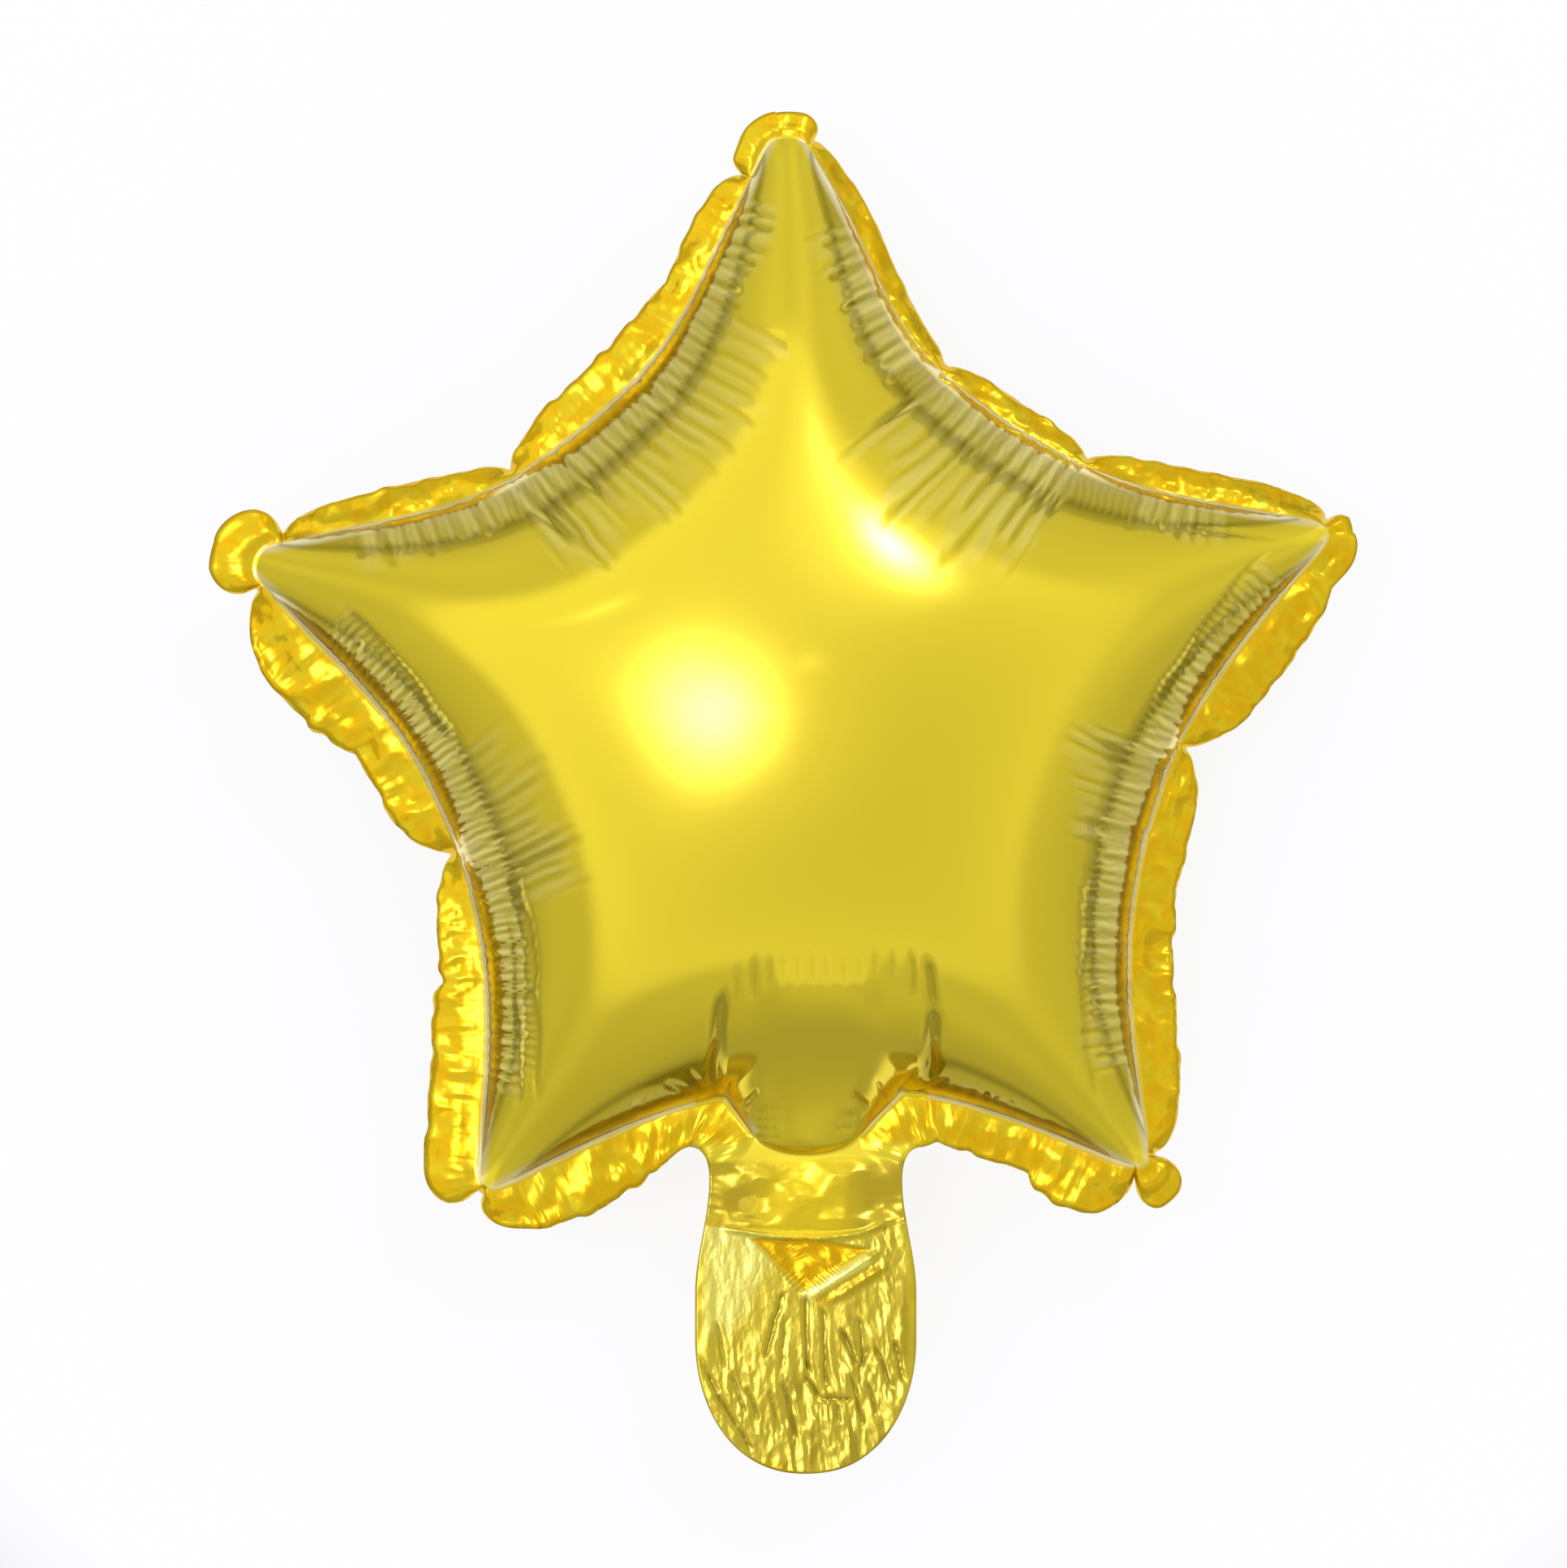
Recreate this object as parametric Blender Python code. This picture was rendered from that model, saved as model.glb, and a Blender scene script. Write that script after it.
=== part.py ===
"""Star foil balloon: two gold films sealed together round their edge and blown up tight.

The bag lies on its back with the star's top point towards +Y and its tail towards -Y. The origin is
the centre of the small spot that rests on the ground. Seen from above, one line runs along the seam.
Inside it the two films belly apart, and outside it they lie sealed together as a thin rim.
"""

import math

import bmesh
import bpy
import numpy as np

MM = 0.001

# Star, measured to the seam of the blown-up bag
TIP_RADIUS = 112.0 * MM
VALLEY_RADIUS = 71.0 * MM
TIP_ROUNDING = 4.5 * MM
BAG_THICKNESS = 74.0 * MM
RISE_LENGTH = 30.0 * MM  # how far in from the seam the films take to reach their full height
STAR_TURN = math.radians(1.9)  # the star leans this much to the left of its tail
STAR_POINTS = 5

# Neck, where air still parts the films. Depths are measured down from the star's bottom valley.
NECK_MOUTH = 41.0 * MM
NECK_WIDTH = 20.0 * MM
NECK_DEPTH = 10.0 * MM  # to its narrowest place
AIR_DEPTH = 14.5 * MM  # to where the films have come together

# Flat tail, measured to its outer edge
TAIL_WIDTH = 43.0 * MM
TAIL_WAIST = 37.5 * MM
TAIL_WAIST_DEPTH = 18.0 * MM
TAIL_FLARE = 22.0 * MM  # length over which it widens below its waist
TAIL_DEPTH = 75.1 * MM
TAIL_END_ROUNDING = 26.0 * MM
TAIL_END_FULLNESS = 0.88  # 1 is an ellipse, and lower is squarer
TAIL_MARGIN = 4.0 * MM  # sealed border
TAIL_SHIFT = 1.25 * MM
TAIL_CORNER_ROUNDING = 4.0 * MM
NECK_RIM_REACH = 9.5 * MM  # width of the rim where it meets the tail
NECK_SPREAD = math.radians(15.0)  # how far the rim fans out sideways there
NECK_FAN = 0.35  # share of the way to the star point over which it does

# Filling valve inside the tail, which shows as a raised V under a cross fold
FOLD_DEPTH = 28.5 * MM
VALVE_POINT_DEPTH = 40.3 * MM
VALVE_WIDTH = 26.0 * MM
VALVE_STEP = 0.5 * MM
STEP_RUN = 0.5 * MM

# Films and their sealed rim
SEALED_THICKNESS = 0.6 * MM
NOTCH_REACH = 1.8 * MM  # how far the rim still shows where it is folded behind the bag
NOTCH_DROP = 3.0 * MM
REST_SINK = 0.7 * MM  # how far the ground presses the back film in

# Gathers along the seam, drawn up by the air
GATHER_PITCH = 4.4 * MM
GATHER_DEPTH = 1.3 * MM
RIM_WAVE = 0.4 * MM  # how far the gathers lift and lower the rim's outer edge
GATHER_START = 0.42  # share of the way from a star point to a valley where they begin

# Leaves of the rim between its folds: start and end as stations along the seam, reach, drop towards
# the back, and squareness (higher is fuller at the ends). Even stations are the six ends (star
# points and the tail), and odd ones the valleys between.
RIM_LEAVES = (
    (-0.10, 0.13, 9.0 * MM, 1.0 * MM, 2.5),
    (0.13, 0.60, 8.5 * MM, 2.0 * MM, 4.0),
    (0.40, 1.20, 9.0 * MM, 2.0 * MM, 3.0),
    (1.21, 1.87, 6.5 * MM, 4.0 * MM, 3.0),
    (1.87, 2.07, 9.5 * MM, 1.0 * MM, 2.5),
    (2.08, 2.70, 13.0 * MM, 3.0 * MM, 3.0),
    (2.45, 3.01, 10.0 * MM, 3.0 * MM, 3.0),
    (3.02, 3.85, 9.0 * MM, 2.0 * MM, 3.0),
    (3.35, 4.00, 11.0 * MM, 2.0 * MM, 12.0),
    (4.00, 4.85, 12.5 * MM, 1.0 * MM, 3.0),
    (4.40, 5.60, 10.5 * MM, 1.0 * MM, 4.0),
    (6.40, 7.93, 9.0 * MM, 1.0 * MM, 7.0),
    (7.50, 7.94, 12.5 * MM, 1.0 * MM, 3.0),
    (7.94, 8.05, 9.0 * MM, 2.0 * MM, 2.0),
    (8.06, 8.95, 9.0 * MM, 3.0 * MM, 4.0),
    (8.60, 9.23, 8.5 * MM, 3.0 * MM, 3.0),
    (9.24, 9.93, 10.0 * MM, 2.0 * MM, 3.0),
    (9.72, 10.03, 7.0 * MM, 1.0 * MM, 4.0),
    (10.04, 10.74, 6.0 * MM, 4.0 * MM, 3.0),
    (10.75, 11.21, 5.0 * MM, 5.0 * MM, 3.0),
    (11.23, 11.91, 6.5 * MM, 5.0 * MM, 3.0),
)

# How the outline is numbered: six ends and six valleys by turns, the tail being the fourth end
STAR_ENDS = (0, 2, 4, 8, 10)
TAIL_END = 6

# How finely the shape is cut up
RING_SHARES = (1.0, 0.97, 0.89, 0.74, 0.5, 0.28, 0.11, 0.0)  # from the seam to the middle line
PLAIN_STEPS = 11  # points along the seam between a star point and the first gather
# Rows to the neck's narrowest place, to the cross fold, across it, to the valve's V, across it, to the end
TAIL_ROW_COUNTS = (5, 5, 1, 4, 1, 10)
PATH_STEPS = 400

GOLD = (0.80, 0.60, 0.07, 1.0)
FOIL_ROUGHNESS = 0.22


def polar(radius, angle):
    return np.array([radius * math.cos(angle), radius * math.sin(angle)])


def tip_angle(index):
    return math.radians(90.0) + STAR_TURN + index * 2.0 * math.pi / STAR_POINTS


def smooth_step(x):
    x = np.clip(x, 0.0, 1.0)
    return x * x * (3.0 - 2.0 * x)


def star_side(index):
    """The seam from one star point to the next, a parabola that passes through the valley."""
    start = polar(TIP_RADIUS, tip_angle(index))
    end = polar(TIP_RADIUS, tip_angle(index + 1))
    valley = polar(VALLEY_RADIUS, tip_angle(index + 0.5))
    bend = 2.0 * valley - (start + end) / 2.0
    t = np.linspace(0.0, 1.0, PATH_STEPS)[:, None]
    return (1.0 - t) ** 2 * start + 2.0 * t * (1.0 - t) * bend + t**2 * end


def below_valley(depth):
    return -(VALLEY_RADIUS + depth)


def tail_line(margin):
    """Half widths and heights down the tail's side and round its end, a margin inside its edge."""
    straight_end = below_valley(TAIL_DEPTH - TAIL_END_ROUNDING)
    waist = below_valley(TAIL_WAIST_DEPTH)
    height = np.linspace(waist, straight_end, PATH_STEPS)
    widening = smooth_step((waist - height) / TAIL_FLARE)
    half = (TAIL_WAIST + widening * (TAIL_WIDTH - TAIL_WAIST)) / 2.0 - margin
    turn = np.linspace(0.0, math.pi / 2.0, PATH_STEPS)[1:]
    end_half = (TAIL_WIDTH / 2.0 - margin) * np.cos(turn) ** TAIL_END_FULLNESS
    end_height = straight_end - (TAIL_END_ROUNDING - margin) * np.sin(turn)
    return np.concatenate([half, end_half]), np.concatenate([height, end_height])


def tail_seam(corner_height):
    """The seam from the left neck corner through the neck and down the tail to its lowest place."""
    narrow = below_valley(NECK_DEPTH)
    half, height = tail_line(TAIL_MARGIN)
    drop = np.linspace(0.0, 1.0, PATH_STEPS)
    funnel_half = (NECK_WIDTH + (NECK_MOUTH - NECK_WIDTH) * (1.0 - drop) ** 1.6) / 2.0
    funnel_height = corner_height + (narrow - corner_height) * drop
    widen_half = NECK_WIDTH / 2.0 + (half[0] - NECK_WIDTH / 2.0) * smooth_step(drop)
    widen_height = narrow + (height[0] - narrow) * drop
    across = np.concatenate([funnel_half, widen_half[1:], half[1:]])
    down = np.concatenate([funnel_height, widen_height[1:], height[1:]])
    return np.column_stack([TAIL_SHIFT - across, down])


def tail_edge(corner_height):
    """The outer edge beside each point of the tail seam, from the rim's corner beside the neck."""
    half, height = tail_line(0.0)
    t = np.linspace(0.0, 1.0, 2 * PATH_STEPS - 1)
    top = corner_height - NECK_RIM_REACH
    across = half[0] + TAIL_CORNER_ROUNDING * (1.0 - t) ** 2
    down = top + (height[0] - top) * t**2
    across = np.concatenate([across, half[1:]])
    down = np.concatenate([down, height[1:]])
    return np.column_stack([TAIL_SHIFT - across, down])


def mirrored(points):
    """The same points on the tail's right side."""
    return np.column_stack([2.0 * TAIL_SHIFT - points[:, 0], points[:, 1]])


def neck_corner(bottom, x):
    return np.array([x, np.interp(x, bottom[:, 0], bottom[:, 1])])


def half_sides():
    """The seam as twelve lines, each from one station to the next, anticlockwise from the top point."""
    middle = PATH_STEPS // 2
    sides = [star_side(index) for index in range(STAR_POINTS)]
    bottom = sides[2]
    left = neck_corner(bottom, TAIL_SHIFT - NECK_MOUTH / 2.0)
    right = neck_corner(bottom, TAIL_SHIFT + NECK_MOUTH / 2.0)
    tail_left = tail_seam(left[1])
    tail_right = mirrored(tail_seam(right[1]))[::-1]
    lower_left = np.vstack([bottom[bottom[:, 0] < left[0]], left])
    lower_right = np.vstack([right, bottom[bottom[:, 0] > right[0]]])
    lines = []
    for side in sides[:2]:
        lines += [side[: middle + 1], side[middle:]]
    lines += [lower_left, tail_left, tail_right, lower_right]
    for side in sides[3:]:
        lines += [side[: middle + 1], side[middle:]]
    return lines


def run_lengths(points):
    steps = np.linalg.norm(np.diff(points, axis=0), axis=1)
    return np.concatenate([[0.0], np.cumsum(steps)])


def seam_path():
    """The closed seam line with its corners rounded, as points, run lengths and the station places."""
    lines = half_sides()
    stations = np.concatenate([[0.0], np.cumsum([run_lengths(line)[-1] for line in lines])])
    points = np.vstack([line[:-1] for line in lines] + [lines[0][:1]])
    runs = run_lengths(points)
    total = runs[-1]
    rounded = points.copy()
    for station in STAR_ENDS:
        place = stations[station]
        away = (runs - place + total / 2.0) % total - total / 2.0
        near = np.abs(away) < TIP_ROUNDING
        t = ((away[near] + TIP_ROUNDING) / (2.0 * TIP_ROUNDING))[:, None]
        before = at_run(points, runs, place - TIP_ROUNDING)
        corner = at_run(points, runs, place)
        after = at_run(points, runs, place + TIP_ROUNDING)
        rounded[near] = (1.0 - t) ** 2 * before + 2.0 * t * (1.0 - t) * corner + t**2 * after
    return rounded, runs, stations


def at_run(points, runs, place):
    place = np.mod(place, runs[-1])
    return np.stack([np.interp(place, runs, points[:, axis]) for axis in (0, 1)], axis=-1)


def star_rows(end):
    """Rows from a star point to the valley after it: share of the way, middle place and film's fold.

    Rows are close together at the point, and there are two to a gather from where gathers begin.
    """
    half_length = run_lengths(star_side(0))[-1] / 2.0
    gather_zone = (1.0 - GATHER_START) * half_length
    gather_rows = 2 * max(3, round(gather_zone / GATHER_PITCH))
    plain = np.linspace(0.0, 1.0, PLAIN_STEPS + 1)[:-1]
    plain = GATHER_START * (0.45 * plain + 0.55 * plain**2.2)
    share = np.concatenate([plain, np.linspace(GATHER_START, 1.0, gather_rows + 1)])
    wave = np.where(np.arange(len(share)) % 2 == 0, 1.0, -1.0)
    fade = smooth_step((share - GATHER_START) / (0.35 * (1.0 - GATHER_START)))
    tip = polar(TIP_RADIUS - 2.0 * TIP_ROUNDING, tip_angle(STAR_ENDS.index(end)))
    none = np.zeros(len(share))
    return {
        "share": share,
        "middle": tip * ((1.0 - share) ** 0.8)[:, None],
        "fold": wave * fade,
        "bend": none,
        "step": none,
        "edge": np.zeros((len(share), 2)),
    }


def tail_rows(corner_height):
    """Rows from the left neck corner to the tail's lowest place.

    They bend from straight across to V-shaped, so that one close pair follows the cross fold and
    another follows the valve's V.
    """
    seam = tail_seam(corner_height)
    runs = run_lengths(seam)
    narrow = below_valley(NECK_DEPTH)
    fold = below_valley(FOLD_DEPTH)
    valve = below_valley(VALVE_POINT_DEPTH)
    fold_side = fold + 3.0 * STEP_RUN
    side = [corner_height, narrow, fold_side]
    side += [fold_side - STEP_RUN, fold_side - 3.0 * STEP_RUN, fold_side - 4.0 * STEP_RUN]
    middle = [0.0, narrow, fold, fold - STEP_RUN, valve, valve - STEP_RUN]
    middle += [below_valley(TAIL_DEPTH - 0.7 * TAIL_END_ROUNDING)]
    bend = [0.0, 0.0, 1.0, 1.0, 1.0, 1.0, 0.0]
    step = [0.0, 0.0, 0.0, 1.0, 1.0, 0.0, 0.0]
    key_share = [np.interp(-height, -seam[:, 1], runs) / runs[-1] for height in side] + [1.0]
    place = [key + np.arange(rows) / rows for key, rows in enumerate(TAIL_ROW_COUNTS)]
    place = np.concatenate(place + [[float(len(TAIL_ROW_COUNTS))]])
    keys = np.arange(len(key_share))
    share = np.interp(place, keys, key_share)
    height = np.interp(place, keys, middle)
    edge = tail_edge(corner_height)
    wave = np.where(np.arange(len(share)) % 2 == 0, 1.0, -1.0)
    return {
        "share": share,
        "middle": np.column_stack([TAIL_SHIFT * np.clip(height / narrow, 0.0, 1.0), height]),
        "fold": wave * np.clip(1.0 - place, 0.0, 1.0),
        "bend": np.interp(place, keys, bend),
        "step": np.interp(place, keys, step),
        "edge": np.stack([np.interp(share * runs[-1], runs, edge[:, k]) for k in (0, 1)], axis=-1),
    }


def turned_back(rows):
    """The same rows in the other order along the seam."""
    back = {key: value[::-1] for key, value in rows.items()}
    back["share"] = 1.0 - back["share"]
    return back


def rim_reach(station):
    """How far the sealed rim shows beyond the seam there, and how far it drops towards the back."""
    reach = np.full(len(station), NOTCH_REACH)
    drop = np.full(len(station), NOTCH_DROP)
    for start, end, leaf_reach, leaf_drop, squareness in RIM_LEAVES:
        for turn in (-12.0, 0.0):
            x = np.clip((station + turn - start) / (end - start), 0.0, 1.0)
            bulge = (1.0 - np.abs(2.0 * x - 1.0) ** squareness) ** 0.7
            reach = np.maximum(reach, NOTCH_REACH + (leaf_reach - NOTCH_REACH) * bulge)
            drop = np.minimum(drop, NOTCH_DROP + (leaf_drop - NOTCH_DROP) * bulge)
    return reach, drop


def seam_grid():
    """All rows in order round the seam: station, seam and middle places, outward way, fold and so on."""
    points, runs, stations = seam_path()
    lines = half_sides()
    parts = []
    for index in range(len(lines)):
        end = index if index % 2 == 0 else index + 1
        if index == TAIL_END - 1:
            part = tail_rows(lines[index][0, 1])
        elif index == TAIL_END:
            part = tail_rows(lines[index][-1, 1])
            part["edge"] = mirrored(part["edge"])
            part = turned_back(part)
        elif index % 2 == 0:
            part = star_rows(end)
        else:
            part = turned_back(star_rows(end % len(lines)))
        length = stations[index + 1] - stations[index]
        part["run"] = stations[index] + part["share"] * length
        part["station"] = index + part["share"]
        if index == TAIL_END + 1:
            part["edge"][0] = parts[-1]["edge"][-1]
        parts.append(part)
    grid = {key: np.concatenate([part[key][:-1] for part in parts]) for key in parts[0]}
    step = MM / 4.0
    tangent = at_run(points, runs, grid["run"] + step) - at_run(points, runs, grid["run"] - step)
    outward = np.column_stack([tangent[:, 1], -tangent[:, 0]])
    grid["outward"] = outward / np.linalg.norm(outward, axis=1)[:, None]
    grid["seam"] = at_run(points, runs, grid["run"])
    return grid


def ring_places(grid, share):
    """One ring of plan points, at a share of the way from the middle line (0) to the seam (1)."""
    bent = np.minimum(1.0, share * (TAIL_WIDTH / 2.0 - TAIL_MARGIN) / (VALVE_WIDTH / 2.0))
    share_down = share + (bent - share) * grid["bend"]
    across = grid["middle"][:, 0] + share * (grid["seam"][:, 0] - grid["middle"][:, 0])
    down = grid["middle"][:, 1] + share_down * (grid["seam"][:, 1] - grid["middle"][:, 1])
    return np.column_stack([across, down])


def plan_mesh(grid):
    """Flat points and triangles inside the seam, ring by ring, with the middle lines closed up."""
    count = len(grid["seam"])
    points = np.vstack([ring_places(grid, share) for share in RING_SHARES])
    index = np.arange(len(points))
    first_at = {}
    for i in index[-count:]:
        key = tuple(np.round(points[i] / (0.01 * MM)).astype(int))
        index[i] = first_at.setdefault(key, i)
    faces = []
    for ring in range(len(RING_SHARES) - 1):
        faces += band(ring * count, (ring + 1) * count, grid["station"])
    faces = index[np.vstack(faces)]
    whole = (faces != np.roll(faces, 1, axis=1)).all(axis=1)
    return points, faces[whole]


def band(first, second, station):
    """Triangles between two rings of points, given the index of each ring's first point.

    The cuts across the quads are the other way round on rows that lead away from a star point, so
    that no triangle lies along a middle line.
    """
    here = np.arange(len(station))
    ahead = (here + 1) % len(station)
    away = (np.floor(station) % 2.0 == 0.0)[:, None]
    a, b, c, d = first + here, first + ahead, second + here, second + ahead
    one = np.where(away, np.column_stack([a, b, c]), np.column_stack([a, b, d]))
    two = np.where(away, np.column_stack([b, d, c]), np.column_stack([a, d, c]))
    return [one, two]


def film_height(points, faces, fixed):
    """Height of each film over the seam's level: the root of a membrane's deflection, held at the seam.

    The deflection u obeys: its Laplacian is u / RISE_LENGTH^2 - 1, solved on the flat triangles.
    """
    corners = points[faces]
    size = len(points)
    stiffness = np.zeros((size, size))
    area = np.zeros(size)
    edge = [corners[:, (k + 2) % 3] - corners[:, (k + 1) % 3] for k in range(3)]
    double_area = np.abs(edge[0][:, 0] * edge[1][:, 1] - edge[0][:, 1] * edge[1][:, 0])
    for i in range(3):
        np.add.at(area, faces[:, i], double_area / 6.0)
        for j in range(3):
            share = (edge[i] * edge[j]).sum(axis=1) / (2.0 * double_area)
            np.add.at(stiffness, (faces[:, i], faces[:, j]), share)
    free = np.unique(faces)
    free = free[~fixed[free]]
    system = stiffness[np.ix_(free, free)] + np.diag(area[free]) / RISE_LENGTH**2
    deflection = np.zeros(size)
    deflection[free] = np.linalg.solve(system, area[free])
    return np.sqrt(np.clip(deflection, 0.0, None) / deflection.max())


def film_surfaces(points, faces, grid):
    """Front and back points of the bag inside the seam, with the back pressed flat where it rests."""
    count = len(grid["seam"])
    fixed = np.zeros(len(points), bool)
    fixed[:count] = True
    airless = below_valley(AIR_DEPTH)
    fixed |= points[:, 1] < airless
    rise = film_height(points, faces, fixed)
    half = BAG_THICKNESS / 2.0 - SEALED_THICKNESS / 2.0
    level = SEALED_THICKNESS / 2.0 + half * rise
    share = np.repeat(RING_SHARES, count)
    across = np.abs(points[:, 0] - TAIL_SHIFT)
    inside = smooth_step((VALVE_WIDTH / 2.0 - across) / (4.0 * STEP_RUN))
    valve = np.tile(grid["step"], len(RING_SHARES)) * inside * VALVE_STEP
    front = np.column_stack([points, level + np.where(share < 1.0, valve, 0.0)])
    back = np.column_stack([points, -np.minimum(level, BAG_THICKNESS / 2.0 - REST_SINK)])
    return front, back


def vertex_normals(points, faces):
    corners = points[faces]
    across = np.cross(corners[:, 1] - corners[:, 0], corners[:, 2] - corners[:, 0])
    normals = np.zeros_like(points)
    for corner in range(3):
        np.add.at(normals, faces[:, corner], across)
    length = np.linalg.norm(normals, axis=1)
    return normals / np.where(length > 0.0, length, 1.0)[:, None]


def gathered(points, faces, fold, count):
    """Folds the film in and out across the gathers, most at the seam and none past the fourth ring."""
    normals = vertex_normals(points, faces)
    for ring, share in enumerate((0.0, 0.8, 1.0, 0.6)):
        rows = slice(ring * count, (ring + 1) * count)
        move = fold * share * GATHER_DEPTH / 2.0
        points[rows] += normals[rows] * move[:, None]
    return points


def rim_edges(grid):
    """Front and back points of the rim's outer edge."""
    reach, drop = rim_reach(grid["station"])
    from_neck = np.abs(grid["station"] - TAIL_END) - 1.0
    fan = 1.0 - smooth_step(from_neck / NECK_FAN)
    side = np.sign(grid["station"] - TAIL_END)
    beside_neck = np.column_stack([side * math.sin(NECK_SPREAD), np.full(len(side), -math.cos(NECK_SPREAD))])
    outward = grid["outward"] + (beside_neck - grid["outward"]) * fan[:, None]
    outward /= np.linalg.norm(outward, axis=1)[:, None]
    out = grid["seam"] + outward * reach[:, None]
    on_tail = from_neck <= 0.0
    out[on_tail] = grid["edge"][on_tail]
    drop *= 1.0 - fan
    front = np.column_stack([out, SEALED_THICKNESS / 2.0 - drop + grid["fold"] * RIM_WAVE])
    return front, front - np.array([0.0, 0.0, SEALED_THICKNESS])


def foil_material():
    material = bpy.data.materials.new("gold_foil")
    material.use_nodes = True
    shader = material.node_tree.nodes["Principled BSDF"]
    shader.inputs["Base Color"].default_value = GOLD
    shader.inputs["Metallic"].default_value = 1.0
    shader.inputs["Roughness"].default_value = FOIL_ROUGHNESS
    return material


def build_balloon(collection):
    grid = seam_grid()
    count = len(grid["seam"])
    plan, plan_faces = plan_mesh(grid)
    front, back = film_surfaces(plan, plan_faces, grid)
    front = gathered(front, plan_faces, grid["fold"], count)
    back = gathered(back, plan_faces[:, ::-1], -grid["fold"], count)
    rim_front, rim_back = rim_edges(grid)
    points = np.vstack([front, back, rim_front, rim_back])
    points[:, 2] += BAG_THICKNESS / 2.0 - REST_SINK
    back_start = len(front)
    rim_front_start = 2 * back_start
    rim_back_start = rim_front_start + count
    faces = [plan_faces, plan_faces[:, ::-1] + back_start]
    faces += band(rim_front_start, 0, grid["station"])
    faces += [part[:, ::-1] for part in band(rim_back_start, back_start, grid["station"])]
    faces += band(rim_back_start, rim_front_start, grid["station"])
    mesh = bpy.data.meshes.new("foil_balloon")
    mesh.from_pydata(points.tolist(), [], np.vstack(faces).tolist())
    shape = bmesh.new()
    shape.from_mesh(mesh)
    loose = [vertex for vertex in shape.verts if not vertex.link_faces]
    bmesh.ops.delete(shape, geom=loose, context="VERTS")
    bmesh.ops.recalc_face_normals(shape, faces=shape.faces)
    shape.to_mesh(mesh)
    shape.free()
    mesh.shade_smooth()
    mesh.materials.append(foil_material())
    balloon = bpy.data.objects.new("foil_balloon", mesh)
    collection.objects.link(balloon)
    return balloon


def main():
    for old in list(bpy.data.objects):
        bpy.data.objects.remove(old)
    collection = bpy.data.collections.new("star_foil_balloon")
    bpy.context.scene.collection.children.link(collection)
    build_balloon(collection)


main()
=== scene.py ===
import math

import bmesh
import bpy
import numpy as np
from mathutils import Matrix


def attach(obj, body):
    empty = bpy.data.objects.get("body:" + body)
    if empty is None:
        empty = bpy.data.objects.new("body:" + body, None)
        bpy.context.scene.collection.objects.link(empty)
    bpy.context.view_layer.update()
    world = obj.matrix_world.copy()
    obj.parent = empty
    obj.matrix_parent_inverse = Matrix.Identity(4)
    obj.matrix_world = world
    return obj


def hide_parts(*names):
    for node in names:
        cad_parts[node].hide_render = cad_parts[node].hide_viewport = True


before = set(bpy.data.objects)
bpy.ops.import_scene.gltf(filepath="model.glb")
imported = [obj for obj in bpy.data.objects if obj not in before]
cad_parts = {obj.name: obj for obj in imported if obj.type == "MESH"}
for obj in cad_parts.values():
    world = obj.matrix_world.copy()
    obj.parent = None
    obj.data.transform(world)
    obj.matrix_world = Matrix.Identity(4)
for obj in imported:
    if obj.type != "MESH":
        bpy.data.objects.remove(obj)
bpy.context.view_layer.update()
mm = 0.001


# small helpers

def smooth(x):
    # 0 below 0 and 1 above 1, with no kink in slope or curvature between
    x = np.clip(x, 0.0, 1.0)
    return x ** 3 * (10.0 - 15.0 * x + 6.0 * x * x)


def lattice(i, j, seed):
    # one repeatable number from -1 to 1 for each whole-numbered place
    value = np.sin(i * 127.1 + j * 311.7 + seed * 74.7) * 43758.5453
    return 2.0 * (value - np.floor(value)) - 1.0


def grain(x, y, seed):
    # value noise: random numbers on a square lattice, blended smoothly between its places
    i, j = np.floor(x), np.floor(y)
    fx, fy = smooth(x - i), smooth(y - j)
    low = lattice(i, j, seed) * (1 - fx) + lattice(i + 1, j, seed) * fx
    high = lattice(i, j + 1, seed) * (1 - fx) + lattice(i + 1, j + 1, seed) * fx
    return low * (1 - fy) + high * fy


# the balloon's shape

star = {
    "valleyRadius": 71.0,     # all lengths here are millimetres
    "tipRadius": 112.0,
    "lean": 1.9,              # degrees the star leans to the left of its tail
    # how far each side's two ends stand out beyond a plain parabola, and how far out each point
    # ends: together they make the points blunt
    "flares": ((3.4, 3.4), (1.8, 1.0), (1.0, 1.0), (1.0, 1.0), (1.4, 6.3)),
    "ends": (114.2, 110.6, 111.0, 111.0, 111.0),
    "endSoftness": 2.2,
    "steepest": 15.0,         # the lower, the steeper the film leaves its seam
    "tipRounding": 1.6,
    "halfThickness": 36.7,
    "restSink": 0.7,          # how far the ground presses the back film in
    "seamHeight": 36.3,
    "middleShort": 7.0,       # how far short of each point the films' middle line stops
}

neck = {
    "centre": 1.25,
    "end": -84.3,             # where the air ends
    "halfWidth": 10.0,
    "mouthHalf": 22.5,
    "mouthShift": 2.4,        # how far right of the neck its mouth lies
    "joins": 58.5,            # where its crest runs into the star
    "mouthStart": -86.0,      # from where it opens upwards, and over what length
    "mouthLength": 28.0,
    "cornerHalf": 20.5,       # where its seam leaves the star's
    "plump": 8.0,             # height just above its end
    "climb": 0.88,            # slope of its crest towards the star
}

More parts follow.
